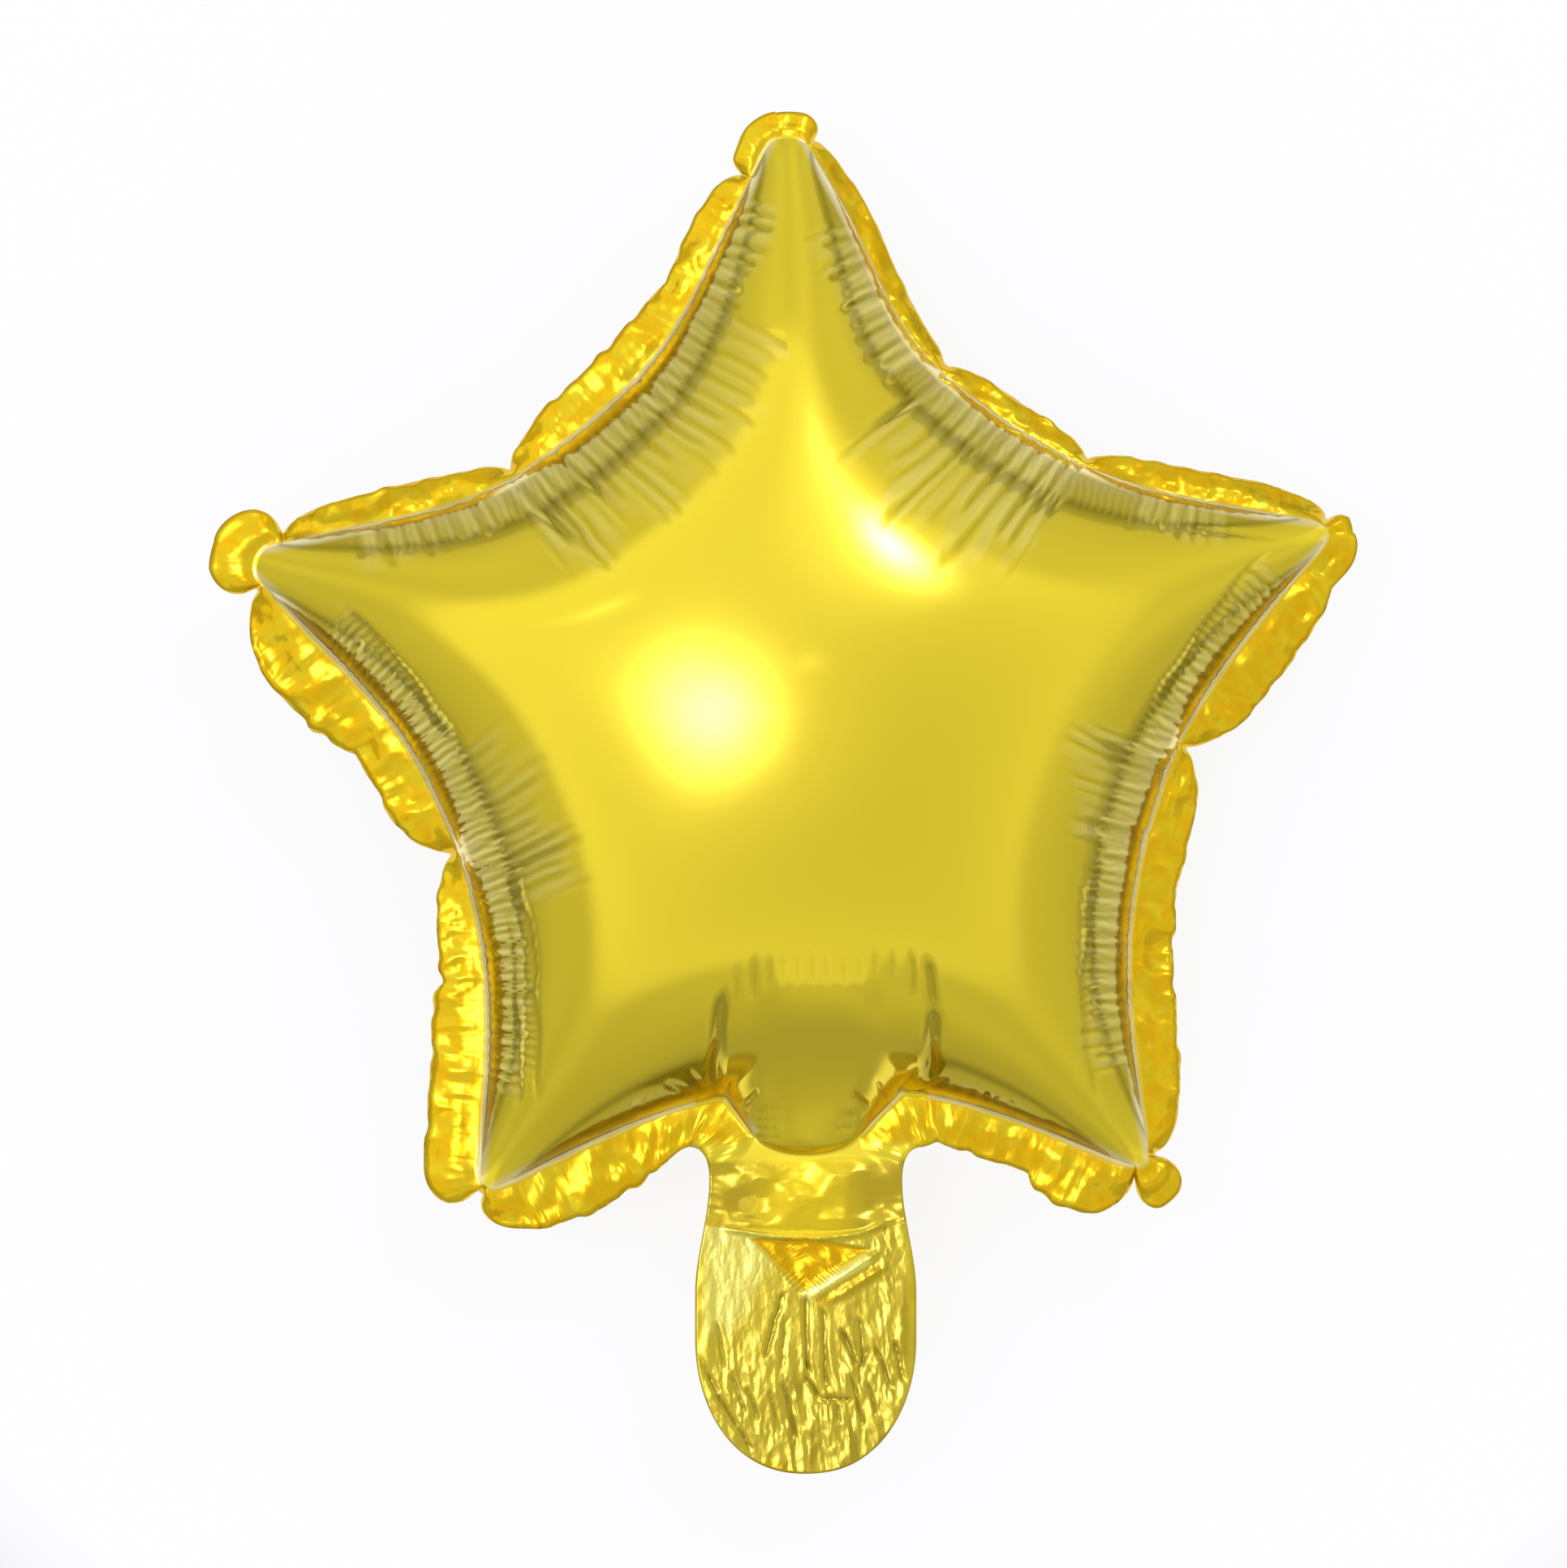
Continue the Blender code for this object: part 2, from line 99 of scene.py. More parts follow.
tail = {
    "width": 43.0,
    "waist": 37.5,
    "waistDepth": 18.0,
    "flareLength": 22.0,
    "depth": 75.1,
    "endRounding": 26.0,
    "endFullness": 0.88,
    "margin": 4.0,
    "cornerRounding": 4.1,
    "rimReach": 8.7,          # width of the rim where it meets the tail
    # creases in its film: x, y, x, y, depth, half width
    "creases": (
        (1.4, -111.6, 1.6, -126.2, 0.45, 0.8), (4.9, -114.2, 5.1, -128.8, 0.4, 0.8),
        (-3.1, -111.2, -4.4, -115.8, 0.4, 0.8), (-4.4, -115.4, -6.4, -123.2, 0.4, 0.8),
        (-2.6, -116.1, -3.3, -125.4, 0.25, 0.7), (8.5, -118.3, 11.1, -125.2, 0.4, 0.9),
        (12.0, -116.1, 12.3, -124.9, 0.35, 0.8), (13.6, -121.7, 11.6, -126.2, 0.35, 0.8),
        (1.4, -127.1, 4.0, -131.5, 0.4, 0.8), (4.0, -131.5, 10.3, -131.5, 0.45, 0.7),
        (-3.1, -128.4, -0.8, -139.1, 0.4, 0.8), (-10.1, -129.3, -7.9, -135.5, 0.35, 0.7),
        (-20.1, -121.7, -15.9, -130.6, 0.45, 0.8), (-15.9, -130.6, -9.3, -141.3, 0.45, 0.8),
        (-15.9, -116.8, -14.6, -125.3, 0.25, 0.7), (15.2, -121.7, 17.8, -129.7, 0.35, 0.8),
        (13.4, -128.4, 15.1, -134.6, 0.35, 0.8), (18.6, -120.4, 20.4, -128.4, 0.35, 0.7),
        (7.6, -132.4, 7.8, -136.0, 0.35, 0.7), (-13.0, -127.0, -10.6, -134.0, 0.3, 0.7),
        (10.2, -127.0, 12.4, -136.5, 0.35, 0.8), (-5.6, -130.0, -4.0, -138.0, 0.3, 0.7),
    ),
    "foldDepth": 28.5,
    "pointDepth": 40.3,
}

film = {
    "starRows": 200,          # rows along half of one side of the star
    "tailRows": 270,
    "frontRings": 46,
    "backRings": 22,
    "rimRings": 9,
    "sealed": 0.30,           # thickness of the sealed rim and tail
}

sideBend = (star["tipRadius"] * math.cos(math.pi / 5) - star["valleyRadius"]) / (
    star["tipRadius"] * math.sin(math.pi / 5)) ** 2
sideTurns = [math.radians(126.0 + 72.0 * k + star["lean"]) for k in range(5)]


def acrossSide(x, y, k):
    # distance out along side k's own axis, and the place along that side
    c, s = math.cos(sideTurns[k]), math.sin(sideTurns[k])
    return x * c + y * s, -x * s + y * c


def sideLine(along, k):
    # how far out side k's seam lies: a parabola with its ends flared
    before, after = star["flares"][k]
    line = star["valleyRadius"] + sideBend * along ** 2
    return line + before * smooth((-along - 14.0) / 42.0) + after * smooth((along - 14.0) / 42.0)


def neckHalfSquared(y):
    wide = neck["mouthHalf"] ** 2 - neck["halfWidth"] ** 2
    return neck["halfWidth"] ** 2 + wide * smooth((y - neck["mouthStart"]) / neck["mouthLength"])


def neckBulk(x, y):
    # square of the neck's height: its crest climbs from its end towards the star, and across it
    # is a half ellipse
    up = y - neck["end"]
    plump = neck["plump"] ** 2
    climb = (neck["climb"] * np.maximum(up, 0.0)) ** 2
    crest = plump * np.tanh(up / 2.6) + climb - 2.0 * np.maximum(y + neck["joins"], 0.0) ** 2
    opened = smooth((y - neck["mouthStart"]) / neck["mouthLength"])
    across = x - neck["centre"] - neck["mouthShift"] * opened
    return crest - (plump + climb) * (across ** 2 / neckHalfSquared(y)) ** (1.0 + opened) - 4.0


def airRise(x, y):
    # height of the blown-up film over the seam: the root of 1 / (sum over pairs of sides of
    # 1 / (distance * distance)), which is what a film held along five curved sides takes. The
    # bottom side's distance may be below nil, and there the neck takes over
    near = []
    for k in range(5):
        out, along = acrossSide(x, y, k)
        gap = (sideLine(along, k) - out) / np.sqrt(1.0 + (2.0 * sideBend * along) ** 2)
        if k == 2:
            bottom = gap
        else:
            near.append(1.0 / np.maximum(gap, 1e-4))
    total = sum(near)
    pairs = (total ** 2 - sum(a * a for a in near)) / 2.0
    bulk = bottom / np.maximum(total + bottom * pairs, 1e-6)
    for k, end in enumerate(star["ends"]):
        turn = math.radians(90.0 + star["lean"] + 72.0 * k)
        toEnd = end - x * math.cos(turn) - y * math.sin(turn)
        share = 1.0 - np.exp(np.minimum(-toEnd / star["endSoftness"], 1.0))
        bulk = np.where(share > 0.0, bulk * share, -np.abs(bulk) - 1.0)
    bulk = bulk - star["tipRounding"] ** 2
    full = star["valleyRadius"] ** 2 / 10.0 - star["tipRounding"] ** 2
    bulk = bulk * star["halfThickness"] ** 2 / full
    fromNeck = neckBulk(x, y)
    bulk = (bulk + fromNeck + np.sqrt((bulk - fromNeck) ** 2 + 30.0 ** 2)) / 2.0
    rise = np.sqrt(np.maximum(bulk - 0.25, 0.0))
    # eased at its foot, where the gathered film leaves the seam at a slant
    most = 1.0 - math.exp(-star["halfThickness"] / star["steepest"])
    return rise * (1.0 - np.exp(-rise / star["steepest"])) / most


def tipPlace(k, radius):
    turn = math.radians(90.0 + star["lean"] + 72.0 * k)
    return np.array([radius * math.cos(turn), radius * math.sin(turn)])


def sidePoints(k):
    # the seam of side k, evenly spaced between two star points
    # its ends are where it meets the lines from the centre through the star's points
    c, s = math.cos(math.pi / 5), math.sin(math.pi / 5)
    first, last = ((c - math.sqrt(c * c - 4.0 * sideBend * s * s * (star["valleyRadius"] + flare)))
                   / (2.0 * sideBend * s) for flare in star["flares"][k])
    along = np.linspace(-first, last, 4001)
    out = sideLine(along, k)
    c, s = math.cos(sideTurns[k]), math.sin(sideTurns[k])
    points = np.column_stack([out * c - along * s, out * s + along * c])
    run = np.concatenate([[0.0], np.cumsum(np.linalg.norm(np.diff(points, axis=0), axis=1))])
    plain = star["tipRadius"] * math.sin(math.pi / 5)
    before, after = np.searchsorted(along, [-plain, plain])
    spare = run[before], run[-1] - run[min(after, len(run) - 1)]
    return points, run, spare


def resampled(points, share):
    run = np.concatenate([[0.0], np.cumsum(np.linalg.norm(np.diff(points, axis=0), axis=1))])
    return np.column_stack([np.interp(share * run[-1], run, points[:, a]) for a in (0, 1)])


def depthLevel(depth):
    return -(star["valleyRadius"] + depth)


def tailOutline(inset):
    # half widths and heights down the tail's side and round its end
    straightEnd = depthLevel(tail["depth"] - tail["endRounding"])
    top = depthLevel(tail["waistDepth"])
    y = np.linspace(top, straightEnd, 600)
    t = np.clip((top - y) / tail["flareLength"], 0.0, 1.0)
    half = (tail["waist"] + t * t * (3 - 2 * t) * (tail["width"] - tail["waist"])) / 2.0 - inset
    turn = np.linspace(0.0, math.pi / 2, 600)[1:]
    endHalf = (tail["width"] / 2.0 - inset) * np.cos(turn) ** tail["endFullness"]
    endY = straightEnd - (tail["endRounding"] - inset) * np.sin(turn)
    return np.concatenate([half, endHalf]), np.concatenate([y, endY])


def tailSides():
    # the left neck corner to the tail's lowest place: seam line and outer edge, as matching points
    k = 2
    corner = neck["centre"] - neck["cornerHalf"]
    points, _, _ = sidePoints(k)
    cornerY = np.interp(corner, points[:, 0], points[:, 1])
    y = np.linspace(cornerY, -81.0, 300)
    crest = neckBulk(neck["centre"], y)
    half = np.sqrt(neckHalfSquared(y) * crest / (crest + 4.0))
    loose = smooth((y + 80.5) / 2.0)                  # the drawing in to nil height starts a little outside
    half = np.minimum(half + 0.8 * loose, neck["cornerHalf"])
    half[0] = neck["cornerHalf"]
    funnel = np.column_stack([neck["centre"] - half, y])
    half, y = tailOutline(tail["margin"])
    t = np.linspace(0.0, 1.0, 200)[1:]
    start, end = funnel[-1], np.array([neck["centre"] - half[0], y[0]])
    widening = np.column_stack([start[0] + (end[0] - start[0]) * smooth(t),
                                start[1] + (end[1] - start[1]) * t])
    seam = np.vstack([funnel, widening, np.column_stack([neck["centre"] - half[1:], y[1:]])])
    edgeHalf, edgeY = tailOutline(0.0)
    t = np.linspace(0.0, 1.0, 499)
    top = cornerY - tail["rimReach"]
    across = np.concatenate([edgeHalf[0] + tail["cornerRounding"] * (1 - t) ** 2, edgeHalf[1:]])
    down = np.concatenate([top + (edgeY[0] - top) * t ** 2, edgeY[1:]])
    return seam, np.column_stack([neck["centre"] - across, down])


# the side and the star point that belong to each of the 12 stretches between stations; numbers 5
# and 6, counted from 0, are the tail's, which has no point
sideOfStation = (0, 0, 1, 1, 2, 2, 2, 2, 3, 3, 4, 4)
pointOfStation = (0, 1, 1, 2, 2, None, None, 3, 3, 4, 4, 5)


def seamRows():
    # every row's seam point, middle point and outer tail edge, anticlockwise from the top point.
    # Stations count the star points (even) and valleys (odd); 6 is the tail's end
    rows = {"seam": [], "middle": [], "station": [], "edge": []}
    tailSeam, tailEdge = tailSides()
    flip = lambda p: np.column_stack([2 * neck["centre"] - p[:, 0], p[:, 1]])
    count = film["starRows"]
    for index in range(12):
        outbound = index % 2 == 0
        share = np.linspace(0.0, 1.0, count + 1)
        share = 0.35 * share + 0.65 * share ** 1.6
        if index in (5, 6):
            tailCount = film["tailRows"]
            share = np.linspace(0.0, 1.0, tailCount + 1)
            run = np.concatenate([[0.0], np.cumsum(np.linalg.norm(np.diff(tailSeam, axis=0), axis=1))])
            seam = np.column_stack([np.interp(share * run[-1], run, tailSeam[:, a]) for a in (0, 1)])
            edge = np.column_stack([np.interp(share * run[-1], run, tailEdge[:, a]) for a in (0, 1)])
            endY = depthLevel(tail["depth"] - 0.7 * tail["endRounding"])
            y = np.interp(share, [0.0, 0.16, 1.0], [0.0, depthLevel(9.0), endY])
            middle = np.column_stack([neck["centre"] * np.clip(y / depthLevel(9.0), 0, 1), y])
            if index == 6:
                seam, edge = flip(seam)[::-1], flip(edge)[::-1]
                middle, share = middle[::-1], 1.0 - share[::-1]
        else:
            points, run, spare = sidePoints(sideOfStation[index])
            middleOfSide = int(np.argmin(np.hypot(points[:, 0], points[:, 1])))
            half = points[: middleOfSide + 1] if outbound else points[middleOfSide:]
            if index == 4:
                half = points[points[:, 0] <= neck["centre"] - neck["cornerHalf"]]
                half = np.vstack([half, tailSeam[:1]])
            if index == 7:
                half = points[points[:, 0] >= neck["centre"] + neck["cornerHalf"]]
                half = np.vstack([flip(tailSeam[:1]), half])
            tip = tipPlace(pointOfStation[index], star["tipRadius"] - star["middleShort"])
            if not outbound:
                share = 1.0 - share[::-1]
            seam = resampled(half, share)
            away = share if outbound else 1.0 - share
            middle = tip * ((1.0 - away) ** 0.8)[:, None]
            edge = np.zeros_like(seam)
            beyond = (spare[0] if outbound else spare[1]) / (0.5 * run[-1])
            fromTip = share if outbound else 1.0 - share
            fromTip = np.clip((fromTip - beyond) / (1.0 - beyond), 1e-6, 1.0)
            share = fromTip if outbound else 1.0 - fromTip
        if index == 7:
            edge[0] = lastEdge
        lastEdge = edge[-1].copy()
        rows["seam"].append(seam[:-1])
        rows["middle"].append(middle[:-1])
        rows["edge"].append(edge[:-1])
        rows["station"].append((index + share)[:-1])
    rows = {key: np.concatenate(value) for key, value in rows.items()}
    # draws the seam in to where the film's height is nil, which rounds the star points
    inAir = (np.abs(rows["station"] - 6.0) > 1.0) | (rows["seam"][:, 1] > -80.5)
    near, far = np.zeros(len(inAir)), np.ones(len(inAir))
    for _ in range(40):
        half = (near + far) / 2.0
        place = rows["middle"] + half[:, None] * (rows["seam"] - rows["middle"])
        lifted = airRise(place[:, 0], place[:, 1]) > 0.0
        near, far = np.where(lifted, half, near), np.where(lifted, far, half)
    drawn = rows["middle"] + near[:, None] * (rows["seam"] - rows["middle"])
    rows["seam"] = np.where(inAir[:, None], drawn, rows["seam"])
    around = np.roll(rows["seam"], -1, axis=0) - np.roll(rows["seam"], 1, axis=0)
    rows["outward"] = np.column_stack([around[:, 1], -around[:, 0]])
    rows["outward"] /= np.linalg.norm(around, axis=1)[:, None]
    steps = np.linalg.norm(np.roll(rows["seam"], -1, axis=0) - rows["seam"], axis=1)
    rows["run"] = np.concatenate([[0.0], np.cumsum(steps)[:-1]])
    return rows


rim = {
    "notchReach": 1.8,        # how far it shows where it is folded behind the bag
    "notchDrop": 3.0,
    # leaves between its folds: first and last station, reach, drop towards the back, squareness
    "leaves": (
        (-0.05, 0.13, 5.4, 1.0, 4.0), (0.13, 0.60, 6.6, 2.0, 4.0), (0.40, 1.20, 8.6, 2.0, 3.0),
        (1.21, 1.87, 6.5, 4.0, 3.0), (1.87, 2.07, 9.5, 1.0, 2.5), (2.08, 2.70, 13.0, 3.0, 3.0),
        (2.45, 3.01, 10.0, 3.0, 3.0), (3.02, 3.85, 9.0, 2.0, 3.0), (3.35, 4.00, 11.0, 2.0, 12.0),
        (4.00, 4.85, 12.5, 1.0, 3.0), (4.40, 5.60, 10.5, 1.0, 4.0), (6.40, 7.93, 9.0, 1.0, 7.0),
        (7.50, 7.94, 12.5, 1.0, 3.0), (7.94, 8.05, 9.0, 2.0, 2.0), (8.06, 8.95, 9.0, 3.0, 4.0),
        (8.60, 9.23, 8.5, 3.0, 3.0), (9.24, 9.93, 10.0, 2.0, 3.0), (9.72, 10.03, 7.0, 1.0, 4.0),
        (10.04, 10.74, 6.0, 4.0, 3.0), (10.75, 11.21, 5.0, 5.0, 3.0), (11.23, 11.945, 4.2, 5.0, 4.0),
    ),
    "spread": 15.0,           # degrees that it fans out beside the neck
    "fan": 0.35,
    "blend": 0.14,            # stations over which its edge runs into the tail's
}


def rimReach(station):
    reach = np.full(len(station), rim["notchReach"])
    drop = np.full(len(station), rim["notchDrop"])
    for start, end, far, low, square in rim["leaves"]:
        for turn in (-12.0, 0.0):
            x = np.clip((station + turn - start) / (end - start), 0.0, 1.0)
            bulge = (1.0 - np.abs(2.0 * x - 1.0) ** square) ** 0.7
            reach = np.maximum(reach, rim["notchReach"] + (far - rim["notchReach"]) * bulge)
            drop = np.minimum(drop, rim["notchDrop"] + (low - rim["notchDrop"]) * bulge)
    return reach, drop


def rimOuter(rows):
    # the rim's outer edge in plan, and its drop: straight out from the seam, fanned beside the neck
    reach, drop = rimReach(rows["station"])
    fromNeck = np.abs(rows["station"] - 6.0) - 1.0
    t = np.clip(fromNeck / rim["fan"], 0.0, 1.0)
    fan = 1.0 - t * t * (3.0 - 2.0 * t)
    side = np.sign(rows["station"] - 6.0)
    spread = math.radians(rim["spread"])
    besideNeck = np.column_stack([side * math.sin(spread), np.full(len(side), -math.cos(spread))])
    out = rows["outward"] + (besideNeck - rows["outward"]) * fan[:, None]
    out /= np.linalg.norm(out, axis=1)[:, None]
    outer = rows["seam"] + out * reach[:, None]
    onTail = fromNeck <= 0.0
    # beside the neck, the rim's edge runs into the tail's
    leftEnd = np.flatnonzero(rows["station"] < 5.0)[-1]
    rightStart = np.flatnonzero(rows["station"] > 7.0)[0]
    for last, step in ((leftEnd, 1), (rightStart, -1)):
        fade = (1.0 - smooth(fromNeck / rim["blend"])) * (side == -step)
        outer = outer + fade[:, None] * (rows["edge"][last + step] - outer[last])
    outer[onTail] = rows["edge"][onTail]
    return outer, drop * (1.0 - fan)


gathers = {
    # for each side, anticlockwise from the top point's: runs of gathers as first and last place along
    # the side (0 is its valley), pitch, reach in from the seam, depth, slant
    "runs": (
        ((-54, -34, 2.6, 11, 0.16, 0.1), (-33, 17, 2.5, 28, 0.14, 0.12), (18, 44, 3.3, 11, 0.10, 0.1)),
        ((-46, -14, 1.9, 11, 0.16, 0.1), (-14, 14, 2.1, 25, 0.15, 0.15), (14, 46, 2.2, 11, 0.18, 0.0)),
        ((-50, -22, 2.6, 5, 0.14, 0.0), (25, 52, 2.6, 5, 0.14, 0.0)),
        ((-46, -4, 2.4, 12, 0.17, 0.0), (-5, 12, 2.4, 23, 0.17, 0.05), (12, 52, 2.0, 9, 0.15, 0.1)),
        ((-46, -30, 2.8, 10, 0.10, 0.0), (-18, 15, 3.0, 31, 0.19, -0.12), (20, 44, 2.6, 12, 0.2, -0.1)),
    ),
    # single long creases: side, place, farthest reach, depth, half width, slant
    "creases": (
        (0, 14.7, 27, 0.55, 1.9, 0.25), (0, 12.9, 25, 0.35, 1.3, 0.25), (0, 5.1, 21, 0.40, 1.6, 0.25),
        (0, -16.3, 11, 0.5, 1.6, 0.1), (1, 8.0, 27, 0.4, 1.8, 0.1), (1, 6.0, 24, 0.3, 1.3, 0.1),
        (3, 10.6, 20, 0.6, 1.8, 0.0), (3, 8.6, 17, 0.4, 1.4, 0.0), (3, -2.0, 14, 0.5, 1.2, 0.0),
        (3, -4.0, 14, 0.5, 1.2, 0.0), (4, 14.1, 24, 0.55, 1.8, -0.2), (4, -16.6, 17, 0.5, 1.6, -0.1),
        (4, -14.6, 17, 0.35, 1.2, -0.1), (4, 0.5, 15, 0.35, 1.3, -0.15), (4, -1.6, 15, 0.35, 1.3, -0.15),
    ),
    # folds that follow the seam: side, distance in from it, first and last place, depth, half width
    "along": (
        (1, 10.0, 4, 50, 0.35, 1.6), (1, 6.5, 10, 56, 0.25, 1.4), (1, 8.5, -50, -16, 0.35, 1.8),
        (3, 9.0, -54, -8, 0.22, 1.6), (3, 8.0, 18, 58, 0.25, 1.8), (4, 5.5, -58, -36, 0.2, 1.5),
    ),
    # fine crimping of the bump, with painted shade and painted highlight in alternate lines: sides,
    # strength, where it starts and ends in from the seam, each with its fade, then the middle and half
    # length of its stretch along the side
    "crimps": (
        ((1,), 1.0, 1.0, 1.5, 8.5, 2.0, -2.0, 40.0), ((3,), 0.8, 3.5, 2.0, 8.0, 3.0, 4.0, 38.0),
        ((0, 4), 0.45, 1.0, 2.0, 6.0, 4.0, 0.0, 40.0),
    ),
    # creases in plan, from one point to another: x, y, x, y, depth, half width
    "plan": (
        (-14.6, -50.0, -16.7, -75.0, 0.9, 2.6), (24.6, -45.0, 26.0, -56.0, 0.55, 2.0),
        (26.0, -54.0, 25.0, -71.5, 0.9, 2.6),
        (-8.8, -44.6, -8.6, -53.5, 0.22, 1.3), (-5.8, -44.5, -5.8, -52.0, 0.14, 1.3),
        (-3.0, -44.2, -3.0, -51.0, 0.10, 1.2), (-0.4, -44.0, -0.4, -50.5, 0.10, 1.2),
        (2.6, -43.8, 2.6, -50.6, 0.12, 1.2), (5.2, -43.7, 5.2, -51.2, 0.12, 1.2),
        (8.4, -43.6, 8.4, -50.2, 0.10, 1.2), (11.4, -43.4, 11.4, -49.8, 0.10, 1.2),
        (14.6, -43.2, 14.6, -49.8, 0.10, 1.2), (18.0, -43.4, 18.0, -50.0, 0.12, 1.2),
        (21.6, -43.6, 21.9, -53.5, 0.24, 1.3), (-12.2, -47.0, -12.2, -54.0, 0.16, 1.2),
        (-9.4, -75.6, -2.6, -74.4, 0.18, 1.0), (-9.6, -77.2, -2.4, -76.6, 0.18, 1.0),
        (-9.6, -78.8, -2.6, -78.6, 0.18, 1.0), (-9.6, -80.4, -3.0, -80.6, 0.18, 1.0),
        (-11.5, -74.8, -7.2, -71.0, 0.25, 1.2), (10.8, -79.0, 6.4, -78.4, 0.18, 1.1),
        (11.2, -77.0, 7.0, -75.4, 0.2, 1.1), (13.4, -75.2, 9.8, -71.4, 0.28, 1.3),
        (17.0, -73.6, 14.6, -69.0, 0.22, 1.2), (-14.5, -73.5, -12.6, -69.0, 0.2, 1.2),
        (-17.5, -72.5, -22.5, -66.5, 0.3, 1.3), (-18.5, -73.5, -27.0, -69.5, 0.3, 1.2),
        (18.5, -73.0, 23.5, -66.0, 0.3, 1.3), (20.5, -73.5, 30.0, -68.5, 0.3, 1.3),
    ),
}


def pinch(x):
    # a crease seen end on: deepest and sharp at 0, level again at 1 either side
    return 1.0 - np.sin(np.minimum(np.abs(x), 1.0) * math.pi / 2)


def besideSeam(x, y, side):
    # distance in from a side's seam, and the place along the side of the foot of that distance
    gap, foot = np.empty_like(x), np.empty_like(x)
    for k in range(5):
        on = side == k
        out, along = acrossSide(x[on], y[on], k)
        gap[on] = (sideLine(along, k) - out) / np.sqrt(1.0 + (2.0 * sideBend * along) ** 2)
        foot[on] = along / (1.0 + 2.0 * sideBend * np.maximum(gap[on], 0.0))
    return gap, foot


def gatherDepth(x, y, side, other, seed, share):
    # how far the film is drawn in at each point: runs of gathers, each a row of creases with full
    # lobes between them, then the single creases, and the folds that follow the seam
    gap, foot = besideSeam(x, y, side)
    depth, crest = np.zeros_like(x), np.zeros_like(x)
    for k, runs in enumerate(gathers["runs"]):
        on = side == k
        d, a = gap[on], foot[on]
        total, amount = np.zeros_like(d), np.zeros_like(d)
        for number, (first, last, pitch, far, deep, slant) in enumerate(runs):
            places = np.arange(first, last + pitch, pitch)
            key = np.arange(len(places))
            places = places + pitch * 0.28 * lattice(key, k + 10 * number, seed)
            reach = far * (0.86 + 0.20 * lattice(key, k + 10 * number, seed + 3))
            size = 2.6 * deep * (0.75 + 0.4 * lattice(key, k + 10 * number, seed + 5))
            at = a + slant * d + 0.35 * grain(a / 5.0, d / 7.0, seed + number)
            after = np.clip(np.searchsorted(places, at), 1, len(places) - 1)
            inside = smooth((at - places[0]) / pitch + 0.6) * smooth((places[-1] - at) / pitch + 0.6)
            for crease in (after - 1, after):
                width = np.clip(np.abs(places[after] - places[after - 1]), 0.4, 1.6 * pitch) / 2.0
                fade = 1.0 - smooth((d - 0.72 * reach[crease]) / (0.28 * reach[crease]))
                fade = fade * (0.65 + 0.35 * np.clip(d / reach[crease], 0.0, 1.0))
                total += inside * size[crease] * pinch((at - places[crease]) / width) * fade
                amount += 0.5 * inside * size[crease] * fade
        depth[on] += total
        # the share of painted highlight on the full lobes between creases
        crest[on] = np.maximum(amount - 1.3 * total, 0.0)
    for k, place, far, deep, half, slant in gathers["creases"]:
        on = side == k
        d, a = gap[on], foot[on]
        fade = 1.0 - smooth((d - 0.45 * far) / (0.55 * far))
        depth[on] += share * deep * pinch((a + slant * d - place - slant * 2.0) / half) * fade
    for k, line, first, last, deep, half in gathers["along"]:
        on = side == k
        d, a = gap[on], foot[on]
        ends = smooth((a - first) / 8.0) * (1.0 - smooth((a - last + 8.0) / 8.0))
        line = line + 0.5 * grain(a / 6.0, a * 0.0, seed)
        depth[on] += share * deep * pinch((d - line) / half) * ends
    return depth * other, crest * other


def crimpShare(gap, foot, sides):
    # how strongly the film is crimped at each point, from its distance in and its place along
    crimp = np.zeros_like(gap)
    for on, strength, start, startFade, end, endFade, middle, half in gathers["crimps"]:
        across = smooth((gap - start) / startFade) * (1.0 - smooth((gap - end) / endFade))
        along = 1.0 - smooth((np.abs(foot - middle) - half) / 8.0)
        crimp += np.where(np.isin(sides, on), strength * across * along, 0.0)
    return crimp


def besideLine(x, y, ends, waver, pitch):
    # how far down a line each point lies, how far beside it, and the line's length; the line
    # wavers to both sides
    x0, y0, x1, y1 = ends
    length = math.hypot(x1 - x0, y1 - y0)
    ux, uy = (x1 - x0) / length, (y1 - y0) / length
    down = (x - x0) * ux + (y - y0) * uy
    beside = (x - x0) * -uy + (y - y0) * ux + waver * grain(down / pitch, x * 0.0, 7)
    return down, beside, length


def planCreases(x, y):
    # creases laid across the film, each deepest over the middle part of its length
    depth = np.zeros_like(x)
    for *ends, deep, half in gathers["plan"]:
        down, beside, length = besideLine(x, y, ends, 0.25, 4.0)
        fade = smooth(down / (0.25 * length)) * (1.0 - smooth((down - 0.7 * length) / (0.3 * length)))
        depth += 1.4 * deep * pinch(beside / half) * fade
    return depth


def crumple(x, y, seed):
    # crushed foil: sharp ridges where value noise crosses nil, in three sizes laid at an angle
    total = np.zeros_like(x)
    for number, (size, turn, part) in enumerate(((1.0, 0.4, 1.0), (0.47, 1.5, 0.5), (0.23, 2.6, 0.26))):
        cosine, sine = math.cos(turn), math.sin(turn)
        u, v = (x * cosine + y * sine) / size, (-x * sine + y * cosine) / size
        total += part * (1.0 - 2.0 * np.abs(grain(u, v, seed + number)))
    return total / 1.76


def gridNormals(grid, upward):
    # normals of a grid of points from its two sets of tangents, turned up or down
    along = np.roll(grid, -1, axis=1) - np.roll(grid, 1, axis=1)
    across = np.gradient(grid, axis=0)
    normal = np.cross(along, across)
    length = np.linalg.norm(normal, axis=2, keepdims=True)
    normal = normal / np.maximum(length, 1e-9)
    lean = np.where(normal[..., 2:] * upward < 0.0, -1.0, 1.0)
    return normal * lean


